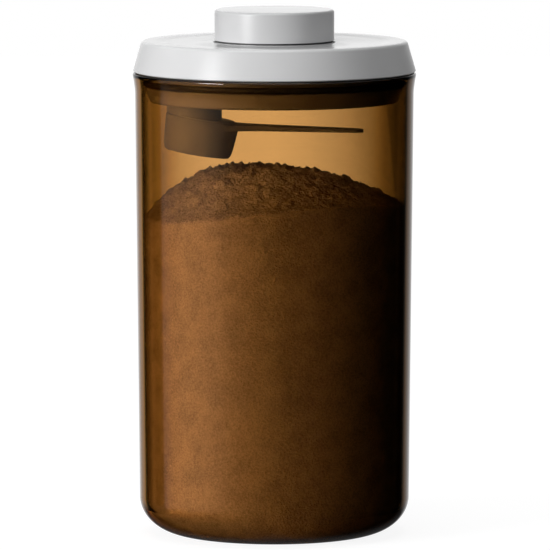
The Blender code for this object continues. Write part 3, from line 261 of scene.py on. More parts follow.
def shadow_through(nodes, links, shader):
    """Let lamp light cross the clear wall in a straight line, tinted, so it casts no hard shadow.

    The tint deepens towards the sides of the round wall, where light crosses more of it.
    """
    squarely = worked_out(nodes, links, "SUBTRACT", 1.0, along_surface(nodes))
    deepened = worked_out(nodes, links, "POWER", squarely, WALL_LAMP_POWER)
    clear = nodes.new("ShaderNodeBsdfTransparent")
    links.new(scaled(nodes, links, WALL_SHADOW_TINT, deepened), clear.inputs["Color"])
    path = nodes.new("ShaderNodeLightPath")
    wall = blended(nodes, links, path.outputs["Is Shadow Ray"], shader.outputs[0], clear.outputs[0])
    links.new(wall, nodes["Material Output"].inputs["Surface"])


flare = []
for step in range(FLARE_STEPS, -1, -1):
    share = step / FLARE_STEPS
    flare_height = JAR_TOP - JAR_FLARE + (JAR_FLARE - LIP_RADIUS) * share
    flare.append((NECK_RADIUS + (RIM_RADIUS - NECK_RADIUS) * share**FLARE_CURVE, flare_height))
corner_centre = FOOT_RADIUS - CORNER_ACROSS
foot_inside = corner_centre - FOOT_WIDTH
inside_bottom = JAR_RECESS + JAR_FLOOR
inner_across = CORNER_ACROSS - JAR_WALL
inner_up = CORNER_UP - inside_bottom
lip_inside = RIM_RADIUS - JAR_WALL + LIP_RADIUS
lip_outside = RIM_RADIUS - LIP_RADIUS
lip_middle = JAR_TOP - LIP_RADIUS
jar_outline = [(0, inside_bottom)]
jar_outline += bow(corner_centre, CORNER_UP, inner_across, inner_up, -90, 0, steps=20)
jar_outline += [(radius - JAR_WALL, height) for radius, height in reversed(flare)]
jar_outline += bow(lip_inside, lip_middle, LIP_RADIUS, LIP_RADIUS, 90 + LIP_SIDE, 90, steps=4)
jar_outline += bow(lip_outside, lip_middle, LIP_RADIUS, LIP_RADIUS, 90, 90 - LIP_SIDE, steps=4)
jar_outline += flare
jar_outline += bow(corner_centre, CORNER_UP, CORNER_ACROSS, CORNER_UP, 0, -90, steps=24)
jar_outline += [(foot_inside, 0), (foot_inside - JAR_RECESS, JAR_RECESS), (0, JAR_RECESS)]
jar = turned_piece("clear_jar", jar_outline, SMOOTH_SIDES, smooth_angle=40)

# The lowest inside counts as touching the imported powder, so light isn't bent as it leaves there.
for name, tints, index in (("clear brown outside", OUTSIDE_TINTS, PLASTIC_IOR),
                           ("clear brown inside", INSIDE_TINTS, PLASTIC_IOR),
                           ("clear brown under powder", INSIDE_TINTS, PACKED_IOR)):
    brown, nodes, links, shader = finish_nodes(name)
    links.new(tinted_on_entry(nodes, links, tints), shader.inputs["Base Color"])
    shader.inputs["Transmission Weight"].default_value = 1.0
    shader.inputs["Roughness"].default_value = 0.0
    shader.inputs["IOR"].default_value = index
    shadow_through(nodes, links, shader)
    jar.data.materials.append(brown)
for face in jar.data.polygons:
    outward = face.normal.x * face.center.x + face.normal.y * face.center.y
    if outward > 0 or face.normal.z < UNDERSIDE_FACING:
        face.material_index = 0
    elif face.center.z < PACKED_TOP:
        face.material_index = 2
    else:
        face.material_index = 1
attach(jar, "jar")
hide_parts("container_body")

# Powder
# Loose milk formula, poured in a little off centre: it lies against the wall all round and
# rises to a crumbly heap whose top stays under the scoop.

POWDER_GAP = 0.0003
PEAK_X = -0.0120
PEAK_Y = 0.0080
PEAK_HEIGHT = 0.16894
HEAP_RISE = 0.0182
HEAP_POWER = 2.25
EDGE_SWELL = 0.0024
SWELL_TURN = math.radians(5)
EDGE_WAVE = 0.0033
WAVE_TURN = math.radians(-66)
LUMP_HEIGHT = 0.0014
LUMP_SPACING = 0.0052
LUMP_FADE = 8
POWDER_SIDES = 560
HEAP_RINGS = 120

# Crumbs per metre, their depths and the starts of their patterns. The clods along the crest
# are drawn out from front to back and grow to the right; the slopes have small dents.
CLODS_ACROSS = 300
CLODS_ALONG = 90
CLOD_START = 4
CLOD_GROWTH = 16
CLOD_DEPTH = 0.0021
DENTS = 330
DENT_SHARE = 0.45
CRUMBS = 640
CRUMB_START = Vector((3, 7, 1))
CRUMB_DEPTH = 0.0010
GRAINS = 1400
GRAIN_START = Vector((5, 2, 8))
GRAIN_DEPTH = 0.0010
MIDDLE_LEVEL = 0.2
CREST_FRONT = -0.010
CREST_BACK = 0.032
CREST_BLEND = 0.014
ROUGH_EDGE = 0.5
ROUGH_BAND = 0.03

# The heap's upward faces take a darker copy of the powder's colours, as painted shade where the lid and the
# crumbs shade the heap; the powder against the wall and the heap's ragged edge keep the unshaded colours.
UNSHADED_EDGE = 0.0012
EDGE_RAGS = 700
SHADED_FACES_FROM = 0.3
POWDER_LIGHT = (0.83, 0.69, 0.60)
POWDER_DARK = (0.44, 0.36, 0.31)
SHADED_HEAP_LIGHT = (0.62, 0.52, 0.44)
SHADED_HEAP_DARK = (0.24, 0.195, 0.165)
TONE_DARK_AT = 0.34
TONE_LIGHT_AT = 0.60
PATCH_SCALE = 110
PATCH_SHARE = 0.45
SPECK_SCALE = 1200
SPECK_DEPTH = 0.0008
PIT_SCALE = 420
PIT_DEPTH = 0.0005
PIT_STRENGTH = 0.6
POWDER_ROUGHNESS = 0.95
POWDER_SHINE = 0.1

edge_height = PEAK_HEIGHT - HEAP_RISE


def jar_inside_radius(height):
    """The inner radius of the jar's drafted wall, less the powder's gap."""
    share = (height - CORNER_UP) / (JAR_TOP - JAR_FLARE - CORNER_UP)
    return FOOT_RADIUS + (NECK_RADIUS - FOOT_RADIUS) * share - JAR_WALL - POWDER_GAP


def heap_point(turn, share):
    """A point of the heap with its main lumps: share is 1 at the wall and 0 at the peak."""
    swell = EDGE_SWELL * math.cos(turn - SWELL_TURN)
    edge = edge_height + swell + EDGE_WAVE * math.cos(2 * (turn - WAVE_TURN))
    radius = jar_inside_radius(edge)
    across = PEAK_X + (radius * math.cos(turn) - PEAK_X) * share
    along = PEAK_Y + (radius * math.sin(turn) - PEAK_Y) * share
    lump = LUMP_HEIGHT * noise.noise(Vector((across, along, 0)) / LUMP_SPACING)
    lump *= min(1, LUMP_FADE * (1 - share))
    return Vector((across, along, edge + (PEAK_HEIGHT - edge) * (1 - share**HEAP_POWER) + lump))


def held(value):
    """A value kept between 0 and 1."""
    return min(1, max(0, value))


def crumbs_at(top, share):
    """The height of clods, dents, crumbs and grains over the heap's main lumps at a point."""
    spot = Vector((top.x, top.y, 0))
    crest = held((top.y - CREST_FRONT) / CREST_BLEND) * held((CREST_BACK - top.y) / CREST_BLEND)
    clods = abs(noise.noise(Vector((top.x * CLODS_ACROSS, top.y * CLODS_ALONG, CLOD_START))))
    clods *= 1 + max(0, top.x) * CLOD_GROWTH
    dents = abs(noise.noise(spot * DENTS))
    coarse = crest * (clods - MIDDLE_LEVEL) + (1 - crest) * DENT_SHARE * (dents - MIDDLE_LEVEL)
    crumbs = abs(noise.noise(spot * CRUMBS + CRUMB_START)) - MIDDLE_LEVEL
    grains = abs(noise.noise(spot * GRAINS + GRAIN_START)) - MIDDLE_LEVEL
    inner = max(ROUGH_EDGE, min(1, (1 - share) / ROUGH_BAND))
    return inner * (CLOD_DEPTH * coarse + CRUMB_DEPTH * crumbs + GRAIN_DEPTH * grains)


def cloudy(nodes, links, scale, detail, roughness=0.5):
    """A cloudy pattern on the piece's own coordinates."""
    coordinate = nodes.new("ShaderNodeTexCoord")
    pattern = nodes.new("ShaderNodeTexNoise")
    for name, setting in (("Scale", scale), ("Detail", detail), ("Roughness", roughness)):
        pattern.inputs[name].default_value = setting
    links.new(coordinate.outputs["Object"], pattern.inputs["Vector"])
    return pattern.outputs["Fac"]


def bumped(nodes, links, height, strength, depth):
    """A bump node over a pattern's height."""
    bump = nodes.new("ShaderNodeBump")
    bump.inputs["Strength"].default_value = strength
    bump.inputs["Distance"].default_value = depth
    links.new(height, bump.inputs["Height"])
    return bump


def powder_finish(name, light, dark):
    """Milk powder with paler and darker grains, pits between them and a matt surface."""
    milk, nodes, links, shader = finish_nodes(name)
    patches = cloudy(nodes, links, PATCH_SCALE, detail=6, roughness=0.6)
    specks = cloudy(nodes, links, SPECK_SCALE, detail=3)
    coordinate = nodes.new("ShaderNodeTexCoord")
    pits = nodes.new("ShaderNodeTexVoronoi")
    pits.inputs["Scale"].default_value = PIT_SCALE
    links.new(coordinate.outputs["Object"], pits.inputs["Vector"])
    broad = worked_out(nodes, links, "MULTIPLY", patches, PATCH_SHARE)
    fine = worked_out(nodes, links, "MULTIPLY", specks, 1 - PATCH_SHARE)
    tone = worked_out(nodes, links, "ADD", broad, fine)
    stops = ((TONE_DARK_AT, dark), (TONE_LIGHT_AT, light))
    links.new(colour_ramp(nodes, links, tone, stops), shader.inputs["Base Color"])
    shader.inputs["Roughness"].default_value = POWDER_ROUGHNESS
    shader.inputs["Specular IOR Level"].default_value = POWDER_SHINE
    speck_bump = bumped(nodes, links, specks, strength=1.0, depth=SPECK_DEPTH)
    pit_bump = bumped(nodes, links, pits.outputs["Distance"], PIT_STRENGTH, PIT_DEPTH)
    links.new(speck_bump.outputs["Normal"], pit_bump.inputs["Normal"])
    links.new(pit_bump.outputs["Normal"], shader.inputs["Normal"])
    return milk


corner_wide = CORNER_ACROSS - JAR_WALL - POWDER_GAP
corner_tall = CORNER_UP - inside_bottom - POWDER_GAP
edge_radius = jar_inside_radius(edge_height)
powder_outline = [(0, inside_bottom + POWDER_GAP)]
powder_outline += bow(corner_centre, CORNER_UP, corner_wide, corner_tall, -90, 0, steps=12)
powder_outline += [(edge_radius * (1 - ring / HEAP_RINGS), edge_height) for ring in range(HEAP_RINGS + 1)]
powder = turned_piece("powder_heap", powder_outline, POWDER_SIDES)
for vertex in powder.data.vertices:
    place = vertex.co
    if place.z > edge_height - POWDER_GAP / 3:
        share = math.hypot(place.x, place.y) / edge_radius
        top = heap_point(math.atan2(place.y, place.x), share)
        top.z += crumbs_at(top, share)
        vertex.co = top

powder.data.materials.append(powder_finish("unshaded powder", POWDER_LIGHT, POWDER_DARK))
powder.data.materials.append(powder_finish("powder in painted shade", SHADED_HEAP_LIGHT, SHADED_HEAP_DARK))
# Upward faces of the heap, all but a ragged band by the wall, get the painted shade.
for face in powder.data.polygons:
    spot = Vector((face.center.x, face.center.y, 0))
    unshaded_edge = UNSHADED_EDGE * (1 + noise.noise(spot * EDGE_RAGS))
    if face.normal.z > SHADED_FACES_FROM and edge_radius - spot.length > unshaded_edge:
        face.material_index = 1
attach(powder, "jar")
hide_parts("powder")

# Mechanism frame
# The lid's lower half: a satin moulding whose collar dips into the mouth, with arms to the
# spring's hub and ears for the levers. Four screws close the lid's cover down on it.

INNER_GREY = (0.22, 0.215, 0.205)
FLAT_WITHIN = math.radians(0.5)
BEVEL_FROM = math.radians(40)
SMOOTH_WITHIN = math.radians(35)
TONE_SCALE = 60
TONE_LOW = 0.3
TONE_HIGH = 0.7
TONE_DROP = 0.975
SHEEN_SPREAD = 0.1
RIPPLE_SCALE = 1500
RIPPLE_DEPTH = 0.0001


def softened_copy(name, node, edge):
    """A piece's own copy of its CAD mesh, merged, with softened edges."""
    bpy.ops.object.select_all(action="DESELECT")
    piece = frame["nodes"][node].copy()
    piece.data = piece.data.copy()
    piece.name = name
    piece.parent = None
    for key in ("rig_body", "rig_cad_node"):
        if key in piece:
            del piece[key]
    piece.hide_render = False
    piece.hide_viewport = False
    bpy.context.scene.collection.objects.link(piece)
    piece.data.materials.clear()
    bpy.context.view_layer.objects.active = piece
    piece.select_set(True)
    bpy.ops.object.mode_set(mode="EDIT")
    bpy.ops.mesh.select_all(action="SELECT")
    bpy.ops.mesh.remove_doubles(threshold=MERGE_DISTANCE)
    bpy.ops.mesh.dissolve_limited(angle_limit=FLAT_WITHIN)
    bpy.ops.object.mode_set(mode="OBJECT")
    if edge > 0:
        bevel = piece.modifiers.new("Softened edges", "BEVEL")
        bevel.width = edge
        bevel.segments = 2
        bevel.limit_method = "ANGLE"
        bevel.angle_limit = BEVEL_FROM
        bpy.ops.object.modifier_apply(modifier=bevel.name)
    bpy.ops.object.shade_smooth_by_angle(angle=SMOOTH_WITHIN)
    return piece


def moulded_plastic(name, colour, roughness, ripple):
    """A moulded plastic with a faint unevenness in its colour and its sheen."""
    made, nodes, links, shader = finish_nodes(name)
    cloud = cloudy(nodes, links, TONE_SCALE, detail=4)
    duller = tuple(value * TONE_DROP for value in colour)
    tone = colour_ramp(nodes, links, cloud, ((TONE_LOW, duller), (TONE_HIGH, colour)))
    links.new(tone, shader.inputs["Base Color"])
    spread = roughness * SHEEN_SPREAD
    sheen = mapped(nodes, links, cloud, 0, 1, roughness - spread, roughness + spread)
    links.new(sheen, shader.inputs["Roughness"])
    waves = cloudy(nodes, links, RIPPLE_SCALE, detail=2)
    bump = bumped(nodes, links, waves, ripple, RIPPLE_DEPTH)
    links.new(bump.outputs["Normal"], shader.inputs["Normal"])
    return made


def set_shine(made, level):
    """Set how strongly a plastic mirrors what is round it; 0.5 is the usual level."""
    made.node_tree.nodes["Principled BSDF"].inputs["Specular IOR Level"].default_value = level


inner_plastic = moulded_plastic("satin inner plastic", INNER_GREY, roughness=0.45, ripple=0.1)
mechanism_frame = softened_copy("lid_frame", "mechanism_frame", 0)
mechanism_frame.data.materials.append(inner_plastic)
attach(mechanism_frame, "lid")
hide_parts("mechanism_frame")

# Gasket
# A soft dark rubber ring, moulded with a round outer bulge, under the frame's collar. The
# levers squeeze it between collar and plug as the button goes down.

gasket_low, gasket_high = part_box("gasket")
GASKET_COLOUR = (0.045, 0.042, 0.040)
GASKET_INNER = 0.0574
PLUG_SIDE = 0.0596

gasket_middle = (gasket_low.z + gasket_high.z) / 2
gasket_half = (gasket_high.z - gasket_low.z) / 2
gasket_outline = [(GASKET_INNER, gasket_high.z)]
gasket_outline += bow(PLUG_SIDE, gasket_middle, gasket_high.x - PLUG_SIDE, gasket_half, 90, -90, steps=16)
gasket_outline += [(GASKET_INNER, gasket_low.z), (GASKET_INNER, gasket_high.z)]
gasket = turned_piece("gasket_ring", gasket_outline, SMOOTH_SIDES)
rubber = moulded_plastic("gasket rubber", GASKET_COLOUR, roughness=0.6, ripple=0.25)
gasket.data.materials.append(rubber)
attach(gasket, "lid")
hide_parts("gasket")
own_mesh(gasket)

# Plug cup
# A shallow cup of smoky grey plastic under the gasket, moulded with four hooks that the
# levers lift it by. Its side is drafted and its foot has a small round.

SMOKE_GREY = (0.48, 0.455, 0.43)

plug_cup = softened_copy("lid_plug", "plug_cup", 0)
smoke = moulded_plastic("smoky plastic", SMOKE_GREY, roughness=0.22, ripple=0.05)
plug_cup.data.materials.append(smoke)
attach(plug_cup, "plug")
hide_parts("plug_cup")

# Scoop holder
# A grey neck screwed under the plug, cut off at the scoop's lean, with a stopper that grips
# the inside of the scoop's mouth. Its grey is paler than the scoop's, as painted light that makes up for the
# plug's shade on it.

NECK_GREY_PAINTED_LIGHT = (0.50, 0.488, 0.476)
GREY_EDGE = 0.0002

holder = softened_copy("scoop_neck", "scoop_holder", GREY_EDGE)
neck_painted_light = moulded_plastic("neck plastic with painted light", NECK_GREY_PAINTED_LIGHT, roughness=0.45, ripple=0.15)
holder.data.materials.append(neck_painted_light)
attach(holder, "plug")
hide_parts("scoop_holder")

# Scoop
# A round measuring cup with a flat bottom and a flat handle, moulded in one piece of grey
# plastic. Its foot is spread a little, as the photograph shows.

SCOOP_GREY = (0.34, 0.332, 0.324)
CUP_LEAN = math.radians(9.6)
CUP_RIM = Vector((-0.0328, 0, 0.1913))
CUP_DEPTH = 0.0162
CUP_FOOT_SPREAD = 0.0005
CUP_FOOT_SHARE = 0.3

grey = moulded_plastic("grey plastic", SCOOP_GREY, roughness=0.45, ripple=0.15)
set_shine(grey, 0.25)
scoop = softened_copy("measuring_scoop", "scoop", GREY_EDGE)
cup_frame = Matrix.Translation(CUP_RIM) @ Matrix.Rotation(CUP_LEAN, 4, "Y")
for vertex in scoop.data.vertices:
    place = cup_frame.inverted() @ vertex.co
    radius = math.hypot(place.x, place.y)
    low = 1 - (CUP_DEPTH + place.z) / (CUP_DEPTH * CUP_FOOT_SHARE)
    if low > 0 and radius > CUP_DEPTH / 2:
        spread = 1 + CUP_FOOT_SPREAD * low / radius
        vertex.co = cup_frame @ Vector((place.x * spread, place.y * spread, place.z))
scoop.data.materials.append(grey)
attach(scoop, "scoop")
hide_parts("scoop")

# Levers, pins, latch wire, spring and screws
# Grey levers rock on steel pins in the frame's ears; the steel latch wire stands in the frame's
# block; the spring lifts the plunger; cross-head screws hold the lid, the button and the holder.

STEEL_GREY = (0.60, 0.60, 0.60)
SMALL_EDGE = 0.0001

steel = moulded_plastic("steel", STEEL_GREY, roughness=0.3, ripple=0.05)
steel.node_tree.nodes["Principled BSDF"].inputs["Metallic"].default_value = 1.0
for count in (1, 2, 3, 4):
    lever = softened_copy(f"rocking_lever_{count}", f"rocker_lever_{count}", SMALL_EDGE)
    lever.data.materials.append(grey)
    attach(lever, f"lever_{count}")
    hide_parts(f"rocker_lever_{count}")
for node in frame["nodes"].values():
    if node.name.startswith(("lever_pin", "frame_screw", "holder_screw", "button_screw", "latch_wire")):
        node.data.materials.clear()
        node.data.materials.append(steel)

spring = softened_copy("coil_spring", "return_spring", 0)
spring.data.materials.append(steel)
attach(spring, "lid")
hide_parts("return_spring")
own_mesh(spring)

# Plunger
# A dark grey moulded tube, screwed up into the button, with the flange that presses the levers
# and the slanted track that the latch wire follows. The spring brings it back up.

plunger = softened_copy("plunger", "button_plunger", SMALL_EDGE)
plunger.data.materials.append(inner_plastic)
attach(plunger, "button")
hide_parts("button_plunger")

# Lid cover
# A white moulding: a slightly dished, polished top with a soft rim, a satin skirt that slopes
# down to the jar's edge, and the button's well. Its hidden screw bosses are in the CAD alone.

cover_low, cover_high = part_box("lid_cover")
LID_EDGE = cover_high.x
LID_SHOULDER = LID_EDGE - 0.0055
LID_TOP = cover_high.z
LID_BOTTOM = cover_low.z
LID_ROUND = 0.0020
LID_HEM = 0.0004
LID_WALL = 0.0018
DISH_DEPTH = 0.0006
DISH_STEPS = 8
DISH_RIM = LID_SHOULDER - 0.0043
DISH_RADIUS = DISH_RIM - 0.0050
DISH_START = DISH_RADIUS - 0.0020
FLAT_END = DISH_RADIUS - 0.0040
DISH_TOP = LID_TOP - DISH_DEPTH
LID_CEILING = DISH_TOP - 0.0020
BUTTON_HOLE = 0.0279
HOLE_EDGE = 0.0003
WELL_RADIUS = 0.0294
WELL_WALL = 0.0016
WELL_BOTTOM = 0.2144
WHITE = (0.80, 0.80, 0.805)
POLISHED_FROM = 0.75

round_middle = LID_TOP - LID_ROUND
skirt_drop = round_middle - LID_BOTTOM - LID_HEM
skirt_spread = LID_EDGE - LID_SHOULDER
skirt_reach = math.hypot(skirt_spread, skirt_drop)
skirt_lean = math.acos(LID_ROUND / skirt_reach) - math.atan2(skirt_drop, skirt_spread)
skirt_turn = math.degrees(skirt_lean)
inner_round = LID_ROUND - LID_WALL
hole_top = DISH_TOP - HOLE_EDGE
cover_outline = [(BUTTON_HOLE, hole_top)]
cover_outline += bow(BUTTON_HOLE + HOLE_EDGE, hole_top, HOLE_EDGE, HOLE_EDGE, 180, 90, steps=3)[1:]
cover_outline += [(FLAT_END, DISH_TOP)]
for step in range(1, DISH_STEPS + 1):
    share = step / DISH_STEPS
    rise = DISH_DEPTH * (3 * share**2 - 2 * share**3)
    cover_outline.append((DISH_START + (DISH_RIM - DISH_START) * share, DISH_TOP + rise))
cover_outline += bow(LID_SHOULDER, round_middle, LID_ROUND, LID_ROUND, 90, skirt_turn, steps=12)
cover_outline += [(LID_EDGE, LID_BOTTOM + LID_HEM), (LID_EDGE - LID_HEM, LID_BOTTOM)]
cover_outline += [(LID_EDGE - LID_WALL / math.cos(skirt_lean), LID_BOTTOM)]
cover_outline += bow(LID_SHOULDER, round_middle, inner_round, inner_round, skirt_turn, 90, steps=5)[:-1]
cover_outline += [(DISH_RIM, LID_CEILING), (WELL_RADIUS + WELL_WALL, LID_CEILING)]
cover_outline += [(WELL_RADIUS + WELL_WALL, WELL_BOTTOM), (WELL_RADIUS, WELL_BOTTOM)]
cover_outline += [(WELL_RADIUS, LID_CEILING), (BUTTON_HOLE, LID_CEILING), (BUTTON_HOLE, hole_top)]
lid_cover = turned_piece("white_cover", cover_outline, SMOOTH_SIDES)
white = moulded_plastic("white satin plastic", WHITE, roughness=0.26, ripple=0.03)
polished = moulded_plastic("polished white plastic", WHITE, roughness=0.12, ripple=0.03)
set_shine(polished, 0.3)
lid_cover.data.materials.append(white)
lid_cover.data.materials.append(polished)
for face in lid_cover.data.polygons:
    if face.normal.z > POLISHED_FROM:
        face.material_index = 1
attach(lid_cover, "lid")
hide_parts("lid_cover")

# Button
# The white push button, a crowned cap with a soft round edge, screwed to the plunger below.
# A shallow groove runs round it where it leaves the lid, coloured dark grey as painted shade for the gap;
# its side is a greyer white as painted shade, and its top is polished.

BUTTON_RADIUS = 0.0274
BUTTON_CROWN = 0.0003
BUTTON_ROUND = 0.0014
BUTTON_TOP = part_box("button_cap")[1].z - BUTTON_CROWN
BUTTON_WALL = 0.0018
BUTTON_LIP = 0.0015
BUTTON_LIP_TOP = LID_CEILING - 0.0003
BUTTON_LIP_BOTTOM = BUTTON_LIP_TOP - 0.0016
BUTTON_BOSS = 0.0040
BUTTON_BOSS_BOTTOM = BUTTON_TOP - BUTTON_WALL - 0.0062
BUTTON_BORE = 0.0015
BUTTON_BORE_TOP = BUTTON_BOSS_BOTTOM + 0.0048
# The button's side is a greyer copy of the lid's white, as painted shade; its polished top keeps the lid's
# white.
BUTTON_SIDE_SHADED_WHITE = (0.68, 0.68, 0.685)
BUTTON_POLISHED_FROM = 0.9
CROWN_STEPS = 6
GROOVE_DEPTH = 0.0012
GROOVE_LOW = DISH_TOP + 0.0001
GROOVE_HIGH = DISH_TOP + 0.0009
# The groove's dark grey is painted shade for the gap round the button's foot.
GROOVE_PAINTED_SHADE = (0.10, 0.10, 0.10)

cap_flat = BUTTON_RADIUS - BUTTON_ROUND
cap_round_middle = BUTTON_TOP - BUTTON_ROUND
cap_inside = BUTTON_RADIUS - BUTTON_WALL
groove_floor = BUTTON_RADIUS - GROOVE_DEPTH
lip_edge = BUTTON_RADIUS + BUTTON_LIP
cap_outline = []
for step in range(CROWN_STEPS):
    share = step / CROWN_STEPS
    cap_outline.append((cap_flat * share, BUTTON_TOP + BUTTON_CROWN * (1 - share**2)))
cap_outline += bow(cap_flat, cap_round_middle, BUTTON_ROUND, BUTTON_ROUND, 90, 0, steps=10)
cap_outline += [(BUTTON_RADIUS, GROOVE_HIGH), (groove_floor, GROOVE_HIGH)]
cap_outline += [(groove_floor, GROOVE_LOW), (BUTTON_RADIUS, GROOVE_LOW)]
cap_outline += [(BUTTON_RADIUS, BUTTON_LIP_TOP), (lip_edge, BUTTON_LIP_TOP)]
cap_outline += [(lip_edge, BUTTON_LIP_BOTTOM), (cap_inside, BUTTON_LIP_BOTTOM)]
cap_outline += [(cap_inside, cap_round_middle), (cap_flat, BUTTON_TOP - BUTTON_WALL)]
cap_outline += [(BUTTON_BOSS, BUTTON_TOP - BUTTON_WALL), (BUTTON_BOSS, BUTTON_BOSS_BOTTOM)]
cap_outline += [(BUTTON_BORE, BUTTON_BOSS_BOTTOM), (BUTTON_BORE, BUTTON_BORE_TOP), (0, BUTTON_BORE_TOP)]
button = turned_piece("push_button", cap_outline, SMOOTH_SIDES)
side_painted_shade = moulded_plastic("button side in painted shade", BUTTON_SIDE_SHADED_WHITE, roughness=0.30, ripple=0.03)
groove_painted_shade = moulded_plastic("groove painted shade", GROOVE_PAINTED_SHADE, roughness=0.5, ripple=0.15)
for plastic in (side_painted_shade, groove_painted_shade, polished):
    button.data.materials.append(plastic)
for face in button.data.polygons:
    reach = math.hypot(face.center.x, face.center.y)
    in_band = GROOVE_LOW - MERGE_DISTANCE < face.center.z < GROOVE_HIGH + MERGE_DISTANCE
    if in_band and reach < BUTTON_RADIUS - GROOVE_DEPTH / 4:
        face.material_index = 1
    elif face.normal.z > BUTTON_POLISHED_FROM and face.center.z > GROOVE_HIGH:
        face.material_index = 2
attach(button, "button")
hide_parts("button_cap")

# Studio
# A pale floor that keeps the shadow, a soft lamp on the left in front and a weaker one above,
# and a world that is white behind the container and dim round the rest, as in a light tent.

FLOOR_SIZE = 6.0
FLOOR_SHADE = 0.20
FLOOR_GLOW = 0.90
FLOOR_BOUNCE = 0.25
SHADE_START = 0.066
SHADE_END = 0.10
SHADE_LEAST = 0.4

# The floor's glow as the jar's wall shows it, a painted pool of light that fades with the distance to the
# right of the jar's axis.
FLOOR_POOL = 0.6
FLOOR_POOL_STOPS = (
    (0, 1), (0.04, 0.86), (0.066, 0.72), (0.10, 0.59), (0.147, 0.40), (0.185, 0.33), (0.27, 0.29),
    (0.285, 0.10), (0.33, 0.075), (0.36, 0.03), (0.39, 0.01), (0.44, 0.003), (0.54, 0.004))

# The brightness of the cards round the set, by the bearing in degrees: 0 is towards the
# camera, plus is to its left and 180 is straight behind.
STUDIO_RING = (
    (-178, 1), (-170, 0.80), (-160, 0.52), (-156, 0.38), (-152, 0.25), (-149, 0.18), (-146, 0.09),
    (-143, 0.05), (-141, 0.01), (-136, 0), (0, 0), (20, 0.02), (40, 0.10), (50, 0.22), (65, 0.30),
    (85, 0.32), (108.6, 0.36), (109.6, 0), (145.5, 0), (147.5, 0.22), (151, 0.29), (155, 0.36),
    (159, 0.46), (165, 0.80), (176, 1))
OVERHEAD_START = 0.45
OVERHEAD_END = 0.85
OVERHEAD_LIGHT = (0.45, 0.45, 0.45)
BELOW_START = -0.17
BELOW_END = -0.30
BELOW_LEAST = 0.08
RIGHT_SHARE = 0.25
RIGHT_BLEND = 0.05
AMBIENT_START = -0.2
AMBIENT_END = 0.9
AMBIENT_FRONT = 0.15
AMBIENT_BACK = 0.55
LAMP_TURN = math.radians(54)
LAMP_RISE = math.radians(12)
LAMP_SPREAD = math.radians(26)
LAMP_STRENGTH = 2.3
TOP_LAMP_TURN = math.radians(20)
TOP_LAMP_RISE = math.radians(80)
TOP_LAMP_SPREAD = math.radians(40)
TOP_LAMP_STRENGTH = 0.8

# A count of bounces that lies under this is none at all.
NO_BOUNCE = 0.5


def seen_directly(nodes, links, path):
    """Two values that are 1 or 0: a ray from the camera, straight or through clear plastic, and a
    ray that was mirrored on its way. Both are 0 for a ray that a matt surface has just scattered."""
    see_through = path.outputs["Is Transmission Ray"]
    unscattered = worked_out(nodes, links, "LESS_THAN", path.outputs["Diffuse Depth"], NO_BOUNCE)
    unmirrored = worked_out(nodes, links, "LESS_THAN", path.outputs["Glossy Depth"], NO_BOUNCE)
    clean = worked_out(nodes, links, "MULTIPLY", unscattered, unmirrored)
    either = worked_out(nodes, links, "MAXIMUM", path.outputs["Is Camera Ray"], see_through)
    straight = worked_out(nodes, links, "MULTIPLY", either, clean)
    through = worked_out(nodes, links, "MULTIPLY", see_through, unscattered)
    turned = worked_out(nodes, links, "MAXIMUM", path.outputs["Is Glossy Ray"], through)
    not_straight = worked_out(nodes, links, "SUBTRACT", 1.0, straight)
    return straight, worked_out(nodes, links, "MULTIPLY", turned, not_straight)


def matt_grey(nodes, shade):
    """A plain diffuse shader in one shade of grey."""
    made = nodes.new("ShaderNodeBsdfDiffuse")
    made.inputs["Color"].default_value = (shade, shade, shade, 1)
    return made.outputs[0]


def soft_lamp(name, turn, rise, spread, strength):
    """A far soft lamp that stands at a turn to the left of the camera and a rise above the floor."""
    bpy.ops.object.light_add(type="SUN")
    lamp = bpy.context.active_object
    lamp.name = name
    lamp.data.angle = spread
    lamp.data.energy = strength
    way = Vector((-math.sin(turn) * math.cos(rise), -math.cos(turn) * math.cos(rise), math.sin(rise)))
    lamp.location = way
    lamp.rotation_euler = way.to_track_quat("Z", "Y").to_euler()
    lamp.visible_camera = False


bpy.ops.object.select_all(action="DESELECT")
bpy.ops.mesh.primitive_plane_add(size=FLOOR_SIZE)
floor = bpy.context.active_object
floor.name = "floor"
pale, nodes, links, shader = finish_nodes("pale floor")
path = nodes.new("ShaderNodeLightPath")
coordinate = nodes.new("ShaderNodeTexCoord")
split = nodes.new("ShaderNodeSeparateXYZ")
links.new(coordinate.outputs["Object"], split.inputs[0])
across = mapped(nodes, links, split.outputs["X"], -FLOOR_POOL, FLOOR_POOL)
pool_stops = [(0.5 + place / FLOOR_POOL / 2, (light, light, light)) for place, light in FLOOR_POOL_STOPS]
pool = colour_ramp(nodes, links, across, pool_stops)
away = nodes.new("ShaderNodeVectorMath")
away.operation = "LENGTH"
links.new(coordinate.outputs["Object"], away.inputs[0])
# Seen through the jar, the glow is also dimmed near the jar's axis, as a painted shadow under the jar.
shade_under = mapped(nodes, links, away.outputs["Value"], SHADE_START, SHADE_END, SHADE_LEAST)
pool_light = worked_out(nodes, links, "MULTIPLY", pool, shade_under)
glow = nodes.new("ShaderNodeEmission")
glow.inputs["Strength"].default_value = FLOOR_GLOW
glow_colour = mixed(nodes, links, path.outputs["Is Transmission Ray"], (1, 1, 1), pool_light)
links.new(glow_colour, glow.inputs["Color"])
lit = nodes.new("ShaderNodeAddShader")
links.new(matt_grey(nodes, FLOOR_SHADE), lit.inputs[0])
links.new(glow.outputs[0], lit.inputs[1])
open_floor = nodes.new("ShaderNodeBsdfTransparent")
seen, mirrored = seen_directly(nodes, links, path)
plain_or_lit = blended(nodes, links, seen, matt_grey(nodes, FLOOR_BOUNCE), lit.outputs[0])
surface = blended(nodes, links, mirrored, plain_or_lit, open_floor.outputs[0])
